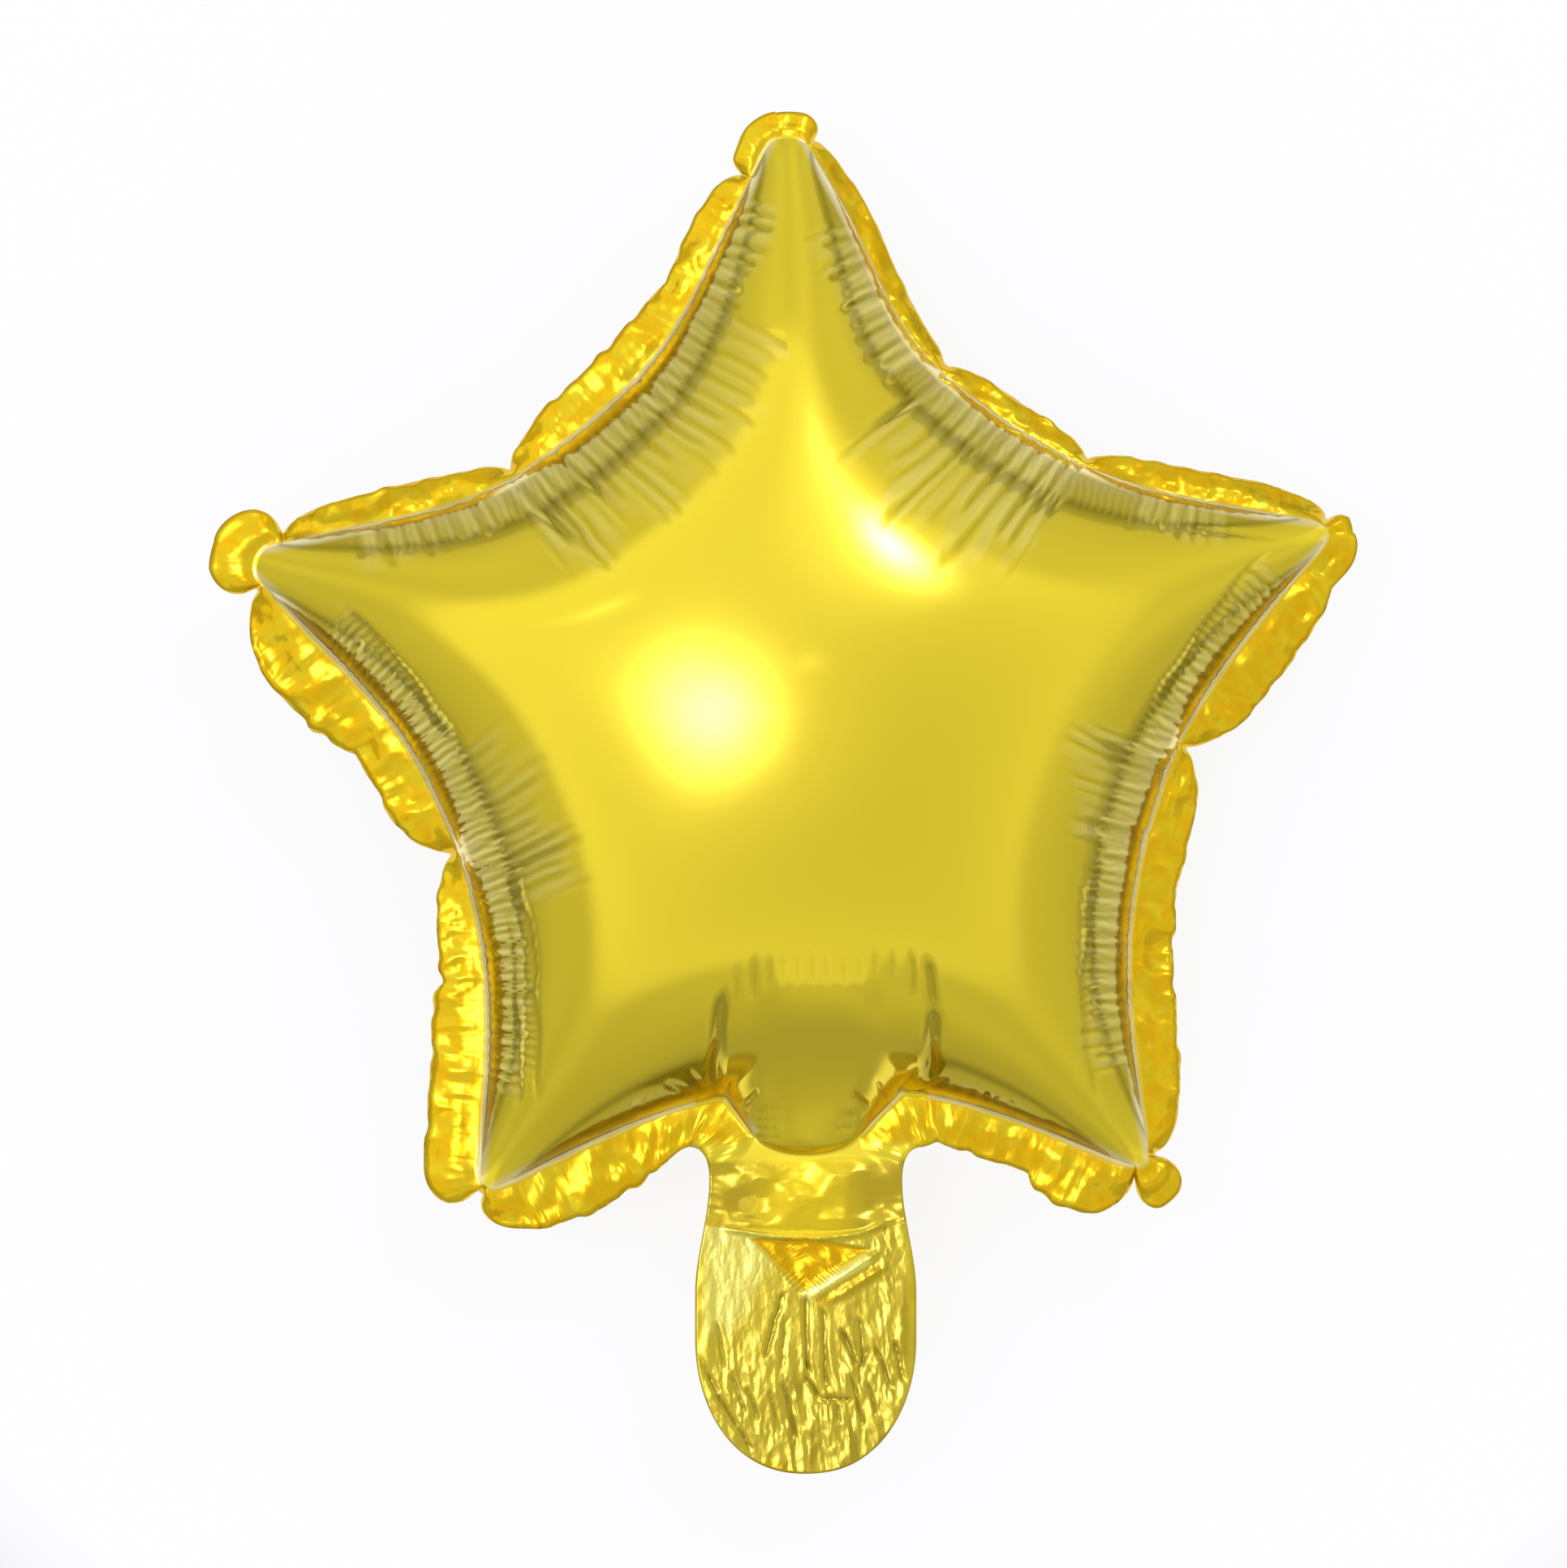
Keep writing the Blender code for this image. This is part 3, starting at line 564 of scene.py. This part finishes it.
valve = {
    "fold": -99.6,            # level of the cross fold
    "lip": 0.55,              # height of the fold's edge
    "tip": -110.8,            # the V's lowest place, and how far left of the middle it lies
    "tipShift": 0.4,
    "top": -100.2,            # level of the V's top edge at its left, and its fall to the right
    "topFall": 0.17,
    "rightRun": 1.55,         # how far its right side runs out for each millimetre up
    "sunk": 0.28,
    "band": 0.35,             # heights of the two folds along its right side
    "leaf": 0.30,
    "puff": 1.1,              # height of the soft crumple above the cross fold
    "crinkle": (0.26, 0.09),  # heights of the coarse and fine crinkle below it
    "creased": 1.2,           # times the depths of the tail's creases
    "deepest": 0.6,           # no place lies lower than this
}


def valveRelief(x, y):
    # the flat neck and tail: soft crumple above the cross fold, a raised V below it, then the
    # creased film with a line down its middle
    across = x - neck["centre"]
    fold = valve["fold"] - 0.35 * np.cos(across / 5.0) + 0.0045 * across ** 2
    fold = fold + 0.9 * smooth((across - 9.0) / 8.0)
    below = smooth((fold - y) / 0.5)
    flat = smooth((neck["end"] + 0.5 - y) / 5.0) * smooth((21.5 - np.abs(across)) / 3.0)
    puff = valve["puff"] * grain(x / 8.0, y / 5.5, 21) + 0.35 * crumple(x / 13.0, y / 8.0, 23)
    puff = puff + 0.5 * smooth((y + 97.0) / 9.0)
    waist = puff * (1.0 - below) * smooth((y - valve["fold"]) / 4.0)
    lip = valve["lip"] * pinch((y - fold + 0.35) / 1.1) * (1.0 - smooth((np.abs(across) - 13.0) / 4.0))
    # distance out from the V's sides: 44 degrees on the left, 33 on the right
    up = y - valve["tip"]
    shifted = across + valve["tipShift"]
    beyond = np.where(shifted > 0.0, 0.54 * (shifted - valve["rightRun"] * up), 0.71 * (-shifted - up))
    top = valve["top"] - valve["topFall"] * np.maximum(across, 0.0)
    inV = smooth(-beyond / 0.5) * below * smooth((top - y) / 0.4)
    onRight = below * smooth((across - 0.4) / 2.0)
    band = pinch((beyond - 1.4) / 1.5) * onRight * smooth((y + 113.0) / 2.0)
    band = band * smooth((15.5 - across) / 3.0)
    leaf = pinch((beyond - 4.3) / 1.7) * onRight * smooth((y + 113.5) / 3.0)
    leaf = leaf * smooth((17.0 - across) / 4.0)
    # the crinkle is stronger towards the tail's end and its right side
    rough = 0.25 + 0.75 * smooth((-112.0 - y) / 18.0) + 0.45 * smooth((across - 2.0) / 10.0)
    coarse, fine = valve["crinkle"]
    crinkle = coarse * crumple(x / 4.0 + 0.25 * y / 9.0, y / 13.0, 31) + fine * crumple(x / 1.8, y / 6.0, 37)
    relief = waist + lip - valve["sunk"] * inV + valve["band"] * band + valve["leaf"] * leaf
    creased = crinkle * np.minimum(rough, 1.15) - valve["creased"] * tailCreases(x, y)
    relief = relief + below * (1.0 - inV) * creased
    relief = relief + inV * 0.18 * crumple(x / 3.0, y / 3.0, 41)
    return np.maximum(relief * flat, -valve["deepest"]), inV * flat, below * (1.0 - inV) * flat


def onFlat(grid):
    # 1 on the flat neck and tail, falling to 0 at their sides and where the air begins
    across = np.abs(grid[..., 0] - neck["centre"])
    return smooth((neck["end"] + 0.5 - grid[..., 1]) / 5.0) * smooth((19.5 - across) / 3.0)


def tailCreases(x, y):
    # sharp creases along short lines, each thinning out towards its ends
    depth = np.zeros_like(x)
    for *ends, deep, half in tail["creases"]:
        down, beside, length = besideLine(x, y, ends, 0.3, 3.0)
        fade = smooth((down + 0.6) / 1.5) * (1.0 - smooth((down - length + 0.9) / 1.5))
        depth += deep * pinch(beside / half) * fade
    return depth


def tailPatches(x, y):
    # shares of the darker folded leaf and end, and of the painted highlight on the pale band beside the V
    # and the tail's upper left
    beside = (y + 113.2) * 0.863 - (x - 3.8) * 0.505
    down = (x - 3.8) * 0.863 + (y + 113.2) * 0.505
    leaf = smooth((1.6 - np.abs(beside)) / 0.5) * smooth((down + 0.6) / 1.2) * smooth((14.8 - down) / 1.5)
    low = -141.6 - 0.2 * (x + 14.2) + 0.5 * grain(x / 4.0, x * 0.0, 5)
    end = smooth((low - y) / 0.7)
    pale = smooth((1.5 - np.abs(beside - 2.9)) / 0.5)
    pale = pale * smooth((down + 2.6) / 1.2) * smooth((13.5 - down) / 1.5)
    upperLeft = smooth((-6.0 - x + 0.55 * (y + 110.0)) / 5.0) * smooth((y + 122.0) / 8.0)
    return np.maximum(leaf, end), np.maximum(pale, 0.8 * upperLeft)


def loopedQuads(rings, count):
    # quads between neighbouring rings of points, each ring closed on itself
    ring = np.arange(rings - 1)[:, None] * count
    here = np.arange(count)[None, :]
    ahead = (here + 1) % count
    corners = [ring + here, ring + ahead, ring + count + ahead, ring + count + here]
    return np.stack(corners, axis=-1).reshape(-1, 4)


def makeBalloon():
    rows = seamRows()
    count = len(rows["seam"])
    print("balloon rows:", count)
    outer, drop = rimOuter(rows)
    half = film["sealed"] / 2.0
    station = rows["station"]
    side = np.array(sideOfStation)[np.floor(station).astype(int)]

    def inside(rings):
        # rings from the seam (0) to the middle line (1), closest together at the seam
        t = np.linspace(0.0, 1.0, rings)
        share = (0.25 * t + 0.75 * t ** 2.2)[:, None, None]
        return rows["seam"] + share * (rows["middle"] - rows["seam"])

    def blownUp(rings, facing, seed):
        # one film: height is half the sealed thickness plus the air's rise, then each point is
        # drawn in along its normal by the depth of its gathers
        plan = inside(rings)
        x, y = plan[..., 0], plan[..., 1]
        z = facing * (half + airRise(x, y))
        grid = np.dstack([plan, z])
        normals = gridNormals(grid, facing)
        sides = np.broadcast_to(side, x.shape)
        away = np.abs(np.mod(station, 12.0) / 2.0 - np.round(station / 2.0)) * 2.0
        clear = smooth(away / 0.12) * smooth((y + 76.0) / 5.0)
        clear = np.where((sides == 2) & (np.abs(x - neck["centre"]) < 30.0), 0.0, clear)
        depth, crest = gatherDepth(x, y, sides, clear, seed, 1.0 if facing > 0 else 0.7)
        if facing > 0:
            depth = depth + planCreases(x, y)
        grid = grid - normals * depth[..., None]
        # painted shade: a share that darkens the bag where the film tilts 44 to 65 degrees, except in the
        # neck
        tilt = np.degrees(np.arccos(np.clip(np.abs(normals[..., 2]), 0.0, 1.0)))
        steepShade = smooth((tilt - 44.0) / 7.0) * (1.0 - smooth((tilt - 65.0) / 4.0))
        inNeck = (sides == 2) * (1.0 - smooth((np.abs(x - neck["centre"] - 2.0) - 16.0) / 9.0))
        steepShade = steepShade * (1.0 - inNeck)
        return grid, depth, steepShade, crest

    front, frontCrease, frontSteepShade, frontCrest = blownUp(film["frontRings"], 1.0, 1)
    back, backCrease, backSteepShade, backCrest = blownUp(film["backRings"], -1.0, 51)
    low = -star["seamHeight"]
    back[..., 2] = low + (back[..., 2] - low + np.sqrt((back[..., 2] - low) ** 2 + 0.02)) / 2.0
    front[..., 2] += valveRelief(front[..., 0], front[..., 1])[0]
    # the back film follows the front one's dents, a little below them
    back[..., 2] += np.minimum(valveRelief(back[..., 0], back[..., 1])[0] - 0.12, 0.0) * onFlat(back)
    t = np.linspace(1.0, 0.0, film["rimRings"])[:-1][:, None]
    run = np.broadcast_to(rows["run"], (len(t), count))
    reach = np.linalg.norm(outer - rows["seam"], axis=1)
    onTail = smooth((1.02 - np.abs(station - 6.0)) / 0.04)
    ripple = 1.05 * crumple(run / 10.0, t * reach / 7.0, 61) + 0.16 * crumple(run / 3.2, t * reach / 3.5, 67)
    besideNeck = smooth((1.16 - np.abs(station - 6.0)) / 0.08)
    besideDome = smooth((rows["seam"][:, 1] - neck["end"]) / 4.0)
    ripple = ripple * smooth(t * 2.5) * (1.0 - 0.85 * onTail * (1.0 - besideDome)) * (1.0 - 0.3 * besideNeck)
    uneven = 0.045 * grain(rows["run"] / 3.0, rows["run"] * 0.0, 71)
    wander = 1.0 + uneven * (1.0 - np.maximum(onTail, besideNeck))
    plan = rows["seam"] + t[..., None] * (outer - rows["seam"]) * wander[:, None]
    level = -drop * t + ripple
    rimFront = np.dstack([plan, level + half])
    rimBack = np.dstack([plan, level - half])
    flat = valveRelief(plan[..., 0], plan[..., 1])[0]
    rimFront[..., 2] += flat * onTail
    rimBack[..., 2] += np.minimum(flat, 0.0) * onTail
    sheet = np.concatenate([back[::-1], rimBack[::-1], rimFront, front])
    noneOnRim = np.zeros((2 * len(rimFront), count))
    crease, steepShade, crest = (
        np.concatenate([onBack[::-1], noneOnRim, onFront]).ravel()
        for onBack, onFront in ((backCrease, frontCrease), (backSteepShade, frontSteepShade), (backCrest, frontCrest)))
    rings = len(sheet)
    points = sheet.reshape(-1, 3)
    _, inV, below = valveRelief(points[:, 0], points[:, 1])
    ringNumber = np.repeat(np.arange(rings), count)
    onRim = (ringNumber >= len(back)) & (ringNumber < rings - len(front))
    beside = smooth((points[:, 1] - neck["end"] - 1.0) / 3.0)
    sealedPart = onRim * np.maximum(1.0 - np.tile(onTail, rings), beside)
    waist = np.tile(onTail, rings) * smooth((neck["end"] - points[:, 1]) / 2.0) * (1.0 - below) * (1.0 - inV)
    sides = np.tile(side, rings)
    gap, foot = besideSeam(points[:, 0], points[:, 1], sides)
    crimp = crimpShare(gap, foot, sides) * (1.0 - onRim)
    # in the neck, the distance from the seam is measured from the funnel's edges, so the painted highlight
    # line runs along them
    fromMiddle = np.abs(points[:, 0] - neck["centre"] - 1.2)
    besideFunnel = np.abs(fromMiddle - np.sqrt(neckHalfSquared(points[:, 1])) + 0.3) + 0.7
    besideFunnel += 3.0 * smooth((points[:, 1] + 72.5) / 4.0) + 3.0 * smooth((-79.0 - points[:, 1]) / 3.0)
    gap = np.where((sides == 2) & (fromMiddle < 22.5), besideFunnel, gap)
    points[:, 2] += star["seamHeight"]
    darkLeaf, paleHighlight = tailPatches(points[:, 0], points[:, 1])
    # the crease share, which sets painted shade, takes in the tail's creases
    crease = crease + tailCreases(points[:, 0], points[:, 1]) * below
    quads = loopedQuads(rings, count)
    mesh = bpy.data.meshes.new("foilBalloon")
    mesh.from_pydata((points * mm).tolist(), [], quads.tolist())
    shares = {
        "rimShare": sealedPart, "tailShare": below, "vShare": inV, "waistShare": waist,
        "fromSeam": gap, "alongSide": foot, "crease": crease, "crest": crest, "steepShade": steepShade,
        "crimp": crimp, "darkLeaf": darkLeaf * below, "paleHighlight": paleHighlight * below,
    }
    for name, values in shares.items():
        attribute = mesh.attributes.new(name, "FLOAT", "POINT")
        attribute.data.foreach_set("value", values.astype(np.float32))
    balloon = bpy.data.objects.new("foilBalloon", mesh)
    bpy.context.collection.objects.link(balloon)
    closeMiddle(mesh)
    mesh.shade_smooth()
    print("balloon triangles:", sum(len(p.vertices) - 2 for p in mesh.polygons))
    return balloon


def closeMiddle(mesh):
    # joins the points that meet along the middle lines of both films
    shape = bmesh.new()
    shape.from_mesh(mesh)
    bmesh.ops.remove_doubles(shape, verts=shape.verts, dist=0.004 * mm)
    bmesh.ops.dissolve_degenerate(shape, edges=shape.edges, dist=0.001 * mm)
    bmesh.ops.recalc_face_normals(shape, faces=shape.faces)
    shape.to_mesh(mesh)
    shape.free()


# materials

class Value:
    # a shader socket that takes part in Python sums: each operator adds a Math node
    def __init__(self, nodes, socket):
        self.nodes, self.socket = nodes, socket

    def maths(self, operation, *others, clamp=False):
        node = self.nodes.new("ShaderNodeMath")
        node.operation, node.use_clamp = operation, clamp
        for place, value in enumerate((self, *others)):
            if isinstance(value, Value):
                self.nodes.id_data.links.new(value.socket, node.inputs[place])
            else:
                node.inputs[place].default_value = value
        return Value(self.nodes, node.outputs[0])

    def clamped(self):
        return self.maths("ADD", 0.0, clamp=True)

    def __add__(self, other): return self.maths("ADD", other)
    def __radd__(self, other): return self.maths("ADD", other)
    def __sub__(self, other): return self.maths("SUBTRACT", other)
    def __rsub__(self, other): return (self * -1.0).maths("ADD", other)
    def __mul__(self, other): return self.maths("MULTIPLY", other)
    def __rmul__(self, other): return self.maths("MULTIPLY", other)
    def __truediv__(self, other): return self.maths("DIVIDE", other)
    def __pow__(self, other): return self.maths("POWER", other)


class Nodes:
    # adds any node from its type, its settings and the values or links of its sockets
    def __init__(self, owner):
        owner.use_nodes = True
        self.tree = owner.node_tree
        self.nodes = self.tree.nodes

    def add(self, kind, settings=None, **sockets):
        node = self.nodes.new("ShaderNode" + kind)
        for name, value in (settings or {}).items():
            setattr(node, name, value)
        for name, value in sockets.items():
            key = int(name[1:]) if name[0] == "i" and name[1:].isdigit() else name.replace("_", " ")
            self.feed(node, key, value)
        return node

    def feed(self, node, key, value):
        socket = node.inputs[key]
        if isinstance(value, Value):
            value = value.socket
        if isinstance(value, bpy.types.NodeSocket):
            self.tree.links.new(value, socket)
        else:
            socket.default_value = value

    def value(self, node, output=0):
        return Value(self.nodes, node.outputs[output])

    def dot(self, first, second):
        return self.value(self.add("VectorMath", {"operation": "DOT_PRODUCT"}, i0=first, i1=second), "Value")


gold = {
    "bag": (0.87, 0.685, 0.028),
    "rim": (0.82, 0.49, 0.005),
    "rimPale": (0.78, 0.57, 0.014),
    "tail": (0.60, 0.47, 0.036),
    "tailDark": (0.36, 0.26, 0.014),
    "tailPaleHighlight": (0.82, 0.74, 0.14),
    # painted shade in the tail's creases
    "tailCreaseShade": (0.24, 0.17, 0.010),
    # painted highlight on the tail's pale band and upper left
    "leaf": (0.52, 0.35, 0.012),
    "valve": (0.72, 0.41, 0.004),
    "waist": (0.84, 0.61, 0.020),
    # painted shade towards the waist's sides
    "waistSideShade": (0.58, 0.43, 0.025),
    # painted highlights: the pale line along the seam and the funnel's edges, and the gathers' crests
    "seamHighlight": (0.98, 0.90, 0.60),
    "crest": (0.98, 0.90, 0.30),
    "steepShadeLeft": 0.46,        # share of the bag's colour left under painted shade where it is steep, and in a crease
    "creaseShadeLeft": 0.36,
    "crestHighlightShare": 0.42,       # how far the painted highlights on crests and the seam's line, and the painted shade in creases, are laid over the colour
    "creaseShadeShare": 0.52,
    "seamHighlightShare": 0.8,
    "roughness": 0.11,
    "coat": 0.35,
}


def goldFoil():
    # metallised film under a clear coat; each part of the balloon has its own tint and crinkle, which follow
    # the shares stored on the mesh, as do the painted shade and painted highlights laid over the bag and
    # tail
    material = bpy.data.materials.new("goldFoil")
    made = Nodes(material)
    shader = made.nodes["Principled BSDF"]
    share = lambda name: made.value(made.add("Attribute", {"attribute_name": name}), "Fac")
    rimShare, tailShare = share("rimShare"), share("tailShare")
    vShare, waistShare = share("vShare"), share("waistShare")
    fromSeam, alongSide = share("fromSeam"), share("alongSide")
    place = made.add("TexCoord").outputs["Object"]

    def mixed(factor, first, second):
        node = made.add("Mix", {"data_type": "RGBA"})
        made.feed(node, "Factor", factor)
        made.feed(node, 6, first if isinstance(first, bpy.types.NodeSocket) else (*first, 1.0))
        made.feed(node, 7, second if isinstance(second, bpy.types.NodeSocket) else (*second, 1.0))
        return node.outputs[2]

    def noise(scale, detail=2.0, roughness=0.5, stretch=None):
        vector = place
        if stretch:
            vector = made.add("Mapping", Vector=place, Scale=stretch).outputs[0]
        settings = {"Scale": scale, "Detail": detail, "Roughness": roughness}
        return made.value(made.add("TexNoise", Vector=vector, **settings))

    crushed = noise(260.0, 3.0)
    flat = (rimShare + tailShare + vShare + waistShare).clamped()
    onBag = 1.0 - flat
    # painted highlight as a pale line beside the seam, then painted shade where the film is steep, darkest
    # in its creases, and painted highlight on crests
    seamHighlight = (1.0 - (fromSeam.maths("ABSOLUTE") - 0.4).maths("DIVIDE", 1.8, clamp=True)) * onBag
    crease, crest, steepShade, crimp = share("crease"), share("crest"), share("steepShade"), share("crimp")
    wave = (alongSide * (2.0 * math.pi / 1.45) + noise(120.0) * 9.0).maths("SINE")
    # painted shade in the creases and in alternate lines of the crimps
    drawn = (crease * 2.6 - 0.12 + crimp * (wave * 0.5 + 0.5) * 0.8).clamped() * onBag
    # painted highlight on the gathers' crests and in the other lines of the crimps
    lit = (crest * 3.0 + crimp * (0.5 - wave * 0.5) * 0.35).clamped() * onBag
    # painted shade where the bag is steep
    colour = mixed(steepShade * onBag, gold["bag"], [level * gold["steepShadeLeft"] for level in gold["bag"]])
    colour = mixed(lit * gold["crestHighlightShare"], colour, gold["crest"])
    creaseShadeTint = [level * gold["creaseShadeLeft"] for level in gold["bag"]]
    colour = mixed(drawn * gold["creaseShadeShare"], colour, creaseShadeTint)
    colour = mixed(seamHighlight * gold["seamHighlightShare"], colour, gold["seamHighlight"])
    rimTint = mixed((crushed - 0.4).maths("DIVIDE", 0.25, clamp=True), gold["rim"], gold["rimPale"])
    colour = mixed(rimShare, colour, rimTint)
    apart = made.add("SeparateXYZ", Vector=place)
    across = made.value(apart, 0) - neck["centre"] * mm
    # painted shade: the waist darkens towards its sides
    waistShadeShare = (across.maths("ABSOLUTE") * 1000.0 - 7.0 + noise(150.0) * 6.0).maths("DIVIDE", 8.0, clamp=True)
    colour = mixed(waistShare, colour, mixed(waistShadeShare, gold["waist"], gold["waistSideShade"]))
    towardsEnd = ((made.value(apart, 0) * 1.2 - made.value(apart, 1) - 0.108) / 0.05).clamped()
    streak = noise(330.0, 3.0, 0.6, (1.0, 0.22, 1.0))
    streaks = (0.40 + towardsEnd * 0.12 - streak).maths("DIVIDE", 0.07, clamp=True)
    tailTint = mixed(streaks * 0.55, gold["tail"], gold["tailDark"])
    # painted highlight on the pale band and upper left
    tailTint = mixed(share("paleHighlight") * 0.85, tailTint, gold["tailPaleHighlight"])
    tailTint = mixed(share("darkLeaf") * 0.9, tailTint, gold["leaf"])
    # painted shade in the tail's creases
    tailTint = mixed((crease * 2.8).clamped() * 0.85, tailTint, gold["tailCreaseShade"])
    colour = mixed(tailShare, colour, tailTint)
    colour = mixed(vShare, colour, gold["valve"])
    crinkled = (rimShare * 0.6 + tailShare + vShare * 0.6 + waistShare * 0.3).clamped()
    fine = noise(900.0, 4.0, 0.6, (1.0, 0.45, 1.0)).maths("SUBTRACT", 0.5).maths("ABSOLUTE")
    coarse = noise(330.0, 2.0, 0.5, (1.0, 0.5, 1.0)).maths("SUBTRACT", 0.5).maths("ABSOLUTE")
    height = crinkled * (fine * 0.15 + coarse * 0.5) + crimp * wave * 0.16
    bump = made.add("Bump", Strength=0.5, Distance=0.0006, Height=height)
    made.feed(shader, "Base Color", colour)
    made.feed(shader, "Metallic", 1.0)
    made.feed(shader, "Roughness", gold["roughness"] + flat * 0.05 + noise(40.0) * 0.03)
    made.feed(shader, "Coat Weight", gold["coat"] * (1.0 - steepShade * onBag) * (1.0 - flat * 0.7))
    made.feed(shader, "Coat Roughness", 0.08)
    made.feed(shader, "Normal", bump.outputs[0])
    return material


balloon = makeBalloon()
balloon.data.materials.append(goldFoil())
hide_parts("foil_balloon")
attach(balloon, "root")

# floor, light and camera

studio = {
    "distance": 1.5,          # camera to the seam's level, metres
    "seen": 0.3049,           # width of the picture there
    "centre": (-0.00308, -0.0120),
    "whiteTo": 0.215,         # the floor is white this far out, then fades to a grey
    "fade": 0.12,
    "farFloor": 0.45,
    "whiteShare": 0.86,
}


def whiteFloor():
    mesh = bpy.data.meshes.new("floor")
    side = 3.0
    corners = [(-side, -side, 0), (side, -side, 0), (side, side, 0), (-side, side, 0)]
    mesh.from_pydata(corners, [], [(0, 1, 2, 3)])
    floor = bpy.data.objects.new("floor", mesh)
    bpy.context.collection.objects.link(floor)
    material = bpy.data.materials.new("whiteFloor")
    made = Nodes(material)
    place = made.add("TexCoord").outputs["Object"]
    far = made.value(made.add("VectorMath", {"operation": "LENGTH"}, i0=place), "Value")
    fade = (far - studio["whiteTo"]).maths("DIVIDE", studio["fade"], clamp=True)
    level = 1.0 - fade * (1.0 - studio["farFloor"])
    colour = made.add("CombineColor", Red=level, Green=level, Blue=level).outputs[0]
    shader = made.nodes["Principled BSDF"]
    made.feed(shader, "Roughness", 0.9)
    made.feed(shader, "Base Color", colour)
    path = made.add("LightPath")
    seen, mirrored = made.value(path, "Is Camera Ray"), made.value(path, "Is Glossy Ray")
    ray = (seen + mirrored + made.value(path, "Is Transmission Ray")).clamped()
    glow = made.add("Emission", Color=colour, Strength=1.0)
    mix = made.add("MixShader", Fac=ray * studio["whiteShare"], i1=shader.outputs[0], i2=glow.outputs[0])
    made.feed(made.nodes["Material Output"], "Surface", mix.outputs[0])
    mesh.materials.append(material)
    return floor


def makeCamera():
    data = bpy.data.cameras.new("camera")
    data.sensor_width = 36.0
    data.lens = 36.0 * studio["distance"] / studio["seen"]
    camera = bpy.data.objects.new("camera", data)
    bpy.context.collection.objects.link(camera)
    camera.location = (*studio["centre"], studio["distance"] + star["seamHeight"] * mm)
    bpy.context.scene.camera = camera


light = {
    "zenith": 0.80,           # straight up, and near the ceiling's edge
    "ceilingEdge": 0.97,
    "wall": 0.71,
    "horizon": 0.58,
    "panels": 0.05,           # how much lighter and darker the wall's panels are
    "edge": 0.66,             # upward part of the direction at which the wall begins
    "edgeSoftness": 0.045,
    "gradient": (-0.11, 0.14),    # lighter to the left and the back
    "edgeDrop": 0.13,         # how much lower the ceiling's edge is to both sides
    # dashes: direction (x, y, z), length, thickness, strength
    "dashes": (((-0.492, 0.358, 0.794), 0.055, 0.012, 1.2), ((0.03, 0.169, 0.985), 0.035, 0.009, 1.0)),
    "dashTint": (1.0, 1.0, 1.2),
    "wallTint": (1.0, 1.0, 0.97),
    # soft lamps: direction (x, y, z), size as an angle in degrees, strength, colour
    "lamps": (
        ((-0.235, 0.03, 0.97), 6.8, 6.0, (1.0, 0.98, 2.2)),
        ((-0.26, 0.06, 0.96), 17.0, 0.36, (1.0, 0.97, 1.5)),
        ((0.28, 0.50, 0.82), 4.2, 11.0, (1.0, 0.98, 2.4)),
        ((0.16, 0.47, 0.86), 10.0, 0.45, (1.0, 0.97, 1.5)),
    ),
}


def lampDash(made, direction, place, long, thin, strength):
    # a short bright dash in the world, level with x: strength * exp(-(along / long)^2 - (over / thin)^2)
    centre = np.array(place) / np.linalg.norm(place)
    sideways = np.array([1.0, 0.0, 0.0]) - centre[0] * centre
    sideways /= np.linalg.norm(sideways)
    axes = sideways, np.cross(centre, sideways)
    along, over = (made.dot(direction, axis.tolist()) for axis in axes)
    along, over = along / long, over / thin
    return (along * along * -1.0 - over * over).maths("EXPONENT") * strength


def makeWorld():
    # a bright ceiling, darker walls all round and soft lamps, each a bell curve of the angle from
    # its direction: strength * exp((dot - 1) / spread)
    world = bpy.data.worlds.new("studio")
    bpy.context.scene.world = world
    made = Nodes(world)
    direction = made.add("TexCoord").outputs["Generated"]
    parts = made.add("SeparateXYZ", Vector=direction)
    x, y, up = (made.value(parts, a) for a in range(3))
    above = up + x * x * light["edgeDrop"] - (light["edge"] - light["edgeSoftness"])
    share = above.maths("DIVIDE", 2 * light["edgeSoftness"], clamp=True)
    ease = share * share * (3.0 - 2.0 * share)
    high = (up - 0.68).maths("DIVIDE", 0.27, clamp=True)
    ceiling = light["ceilingEdge"] - high * (light["ceilingEdge"] - light["zenith"])
    ceiling = ceiling + x * light["gradient"][0] + y * light["gradient"][1]
    panel = (y.maths("ARCTAN2", x) * 9.0 + up * 5.0).maths("SINE") * light["panels"] + 1.0
    wall = light["horizon"] + (up / 0.55).clamped() * (light["wall"] - light["horizon"])
    wall = wall * panel * (1.0 + y * 0.16 + x * 0.04)
    plain = wall + ease * (ceiling - wall)

    def tinted(level, tint):
        red, green, blue = (level * part for part in tint)
        return made.add("CombineColor", Red=red, Green=green, Blue=blue).outputs[0]

    colour = tinted(plain, light["wallTint"])
    lit = []
    for place, size, strength, tint in light["lamps"]:
        length = math.sqrt(sum(part * part for part in place))
        dot = made.dot(direction, [part / length for part in place])
        spread = 1.0 - math.cos(math.radians(size))
        lit.append((((dot - 1.0) / spread).maths("EXPONENT") * strength, tint))
    lit += [(lampDash(made, direction, *dash), light["dashTint"]) for dash in light["dashes"]]
    for bell, tint in lit:
        lamp = tinted(bell, tint)
        colour = made.add("VectorMath", {"operation": "ADD"}, i0=colour, i1=lamp).outputs[0]
    made.feed(made.nodes["Background"], "Color", colour)


whiteFloor()
print("floor added")
makeCamera()
print("camera added")
makeWorld()
print("light added")
bpy.context.scene.view_settings.view_transform = "Standard"
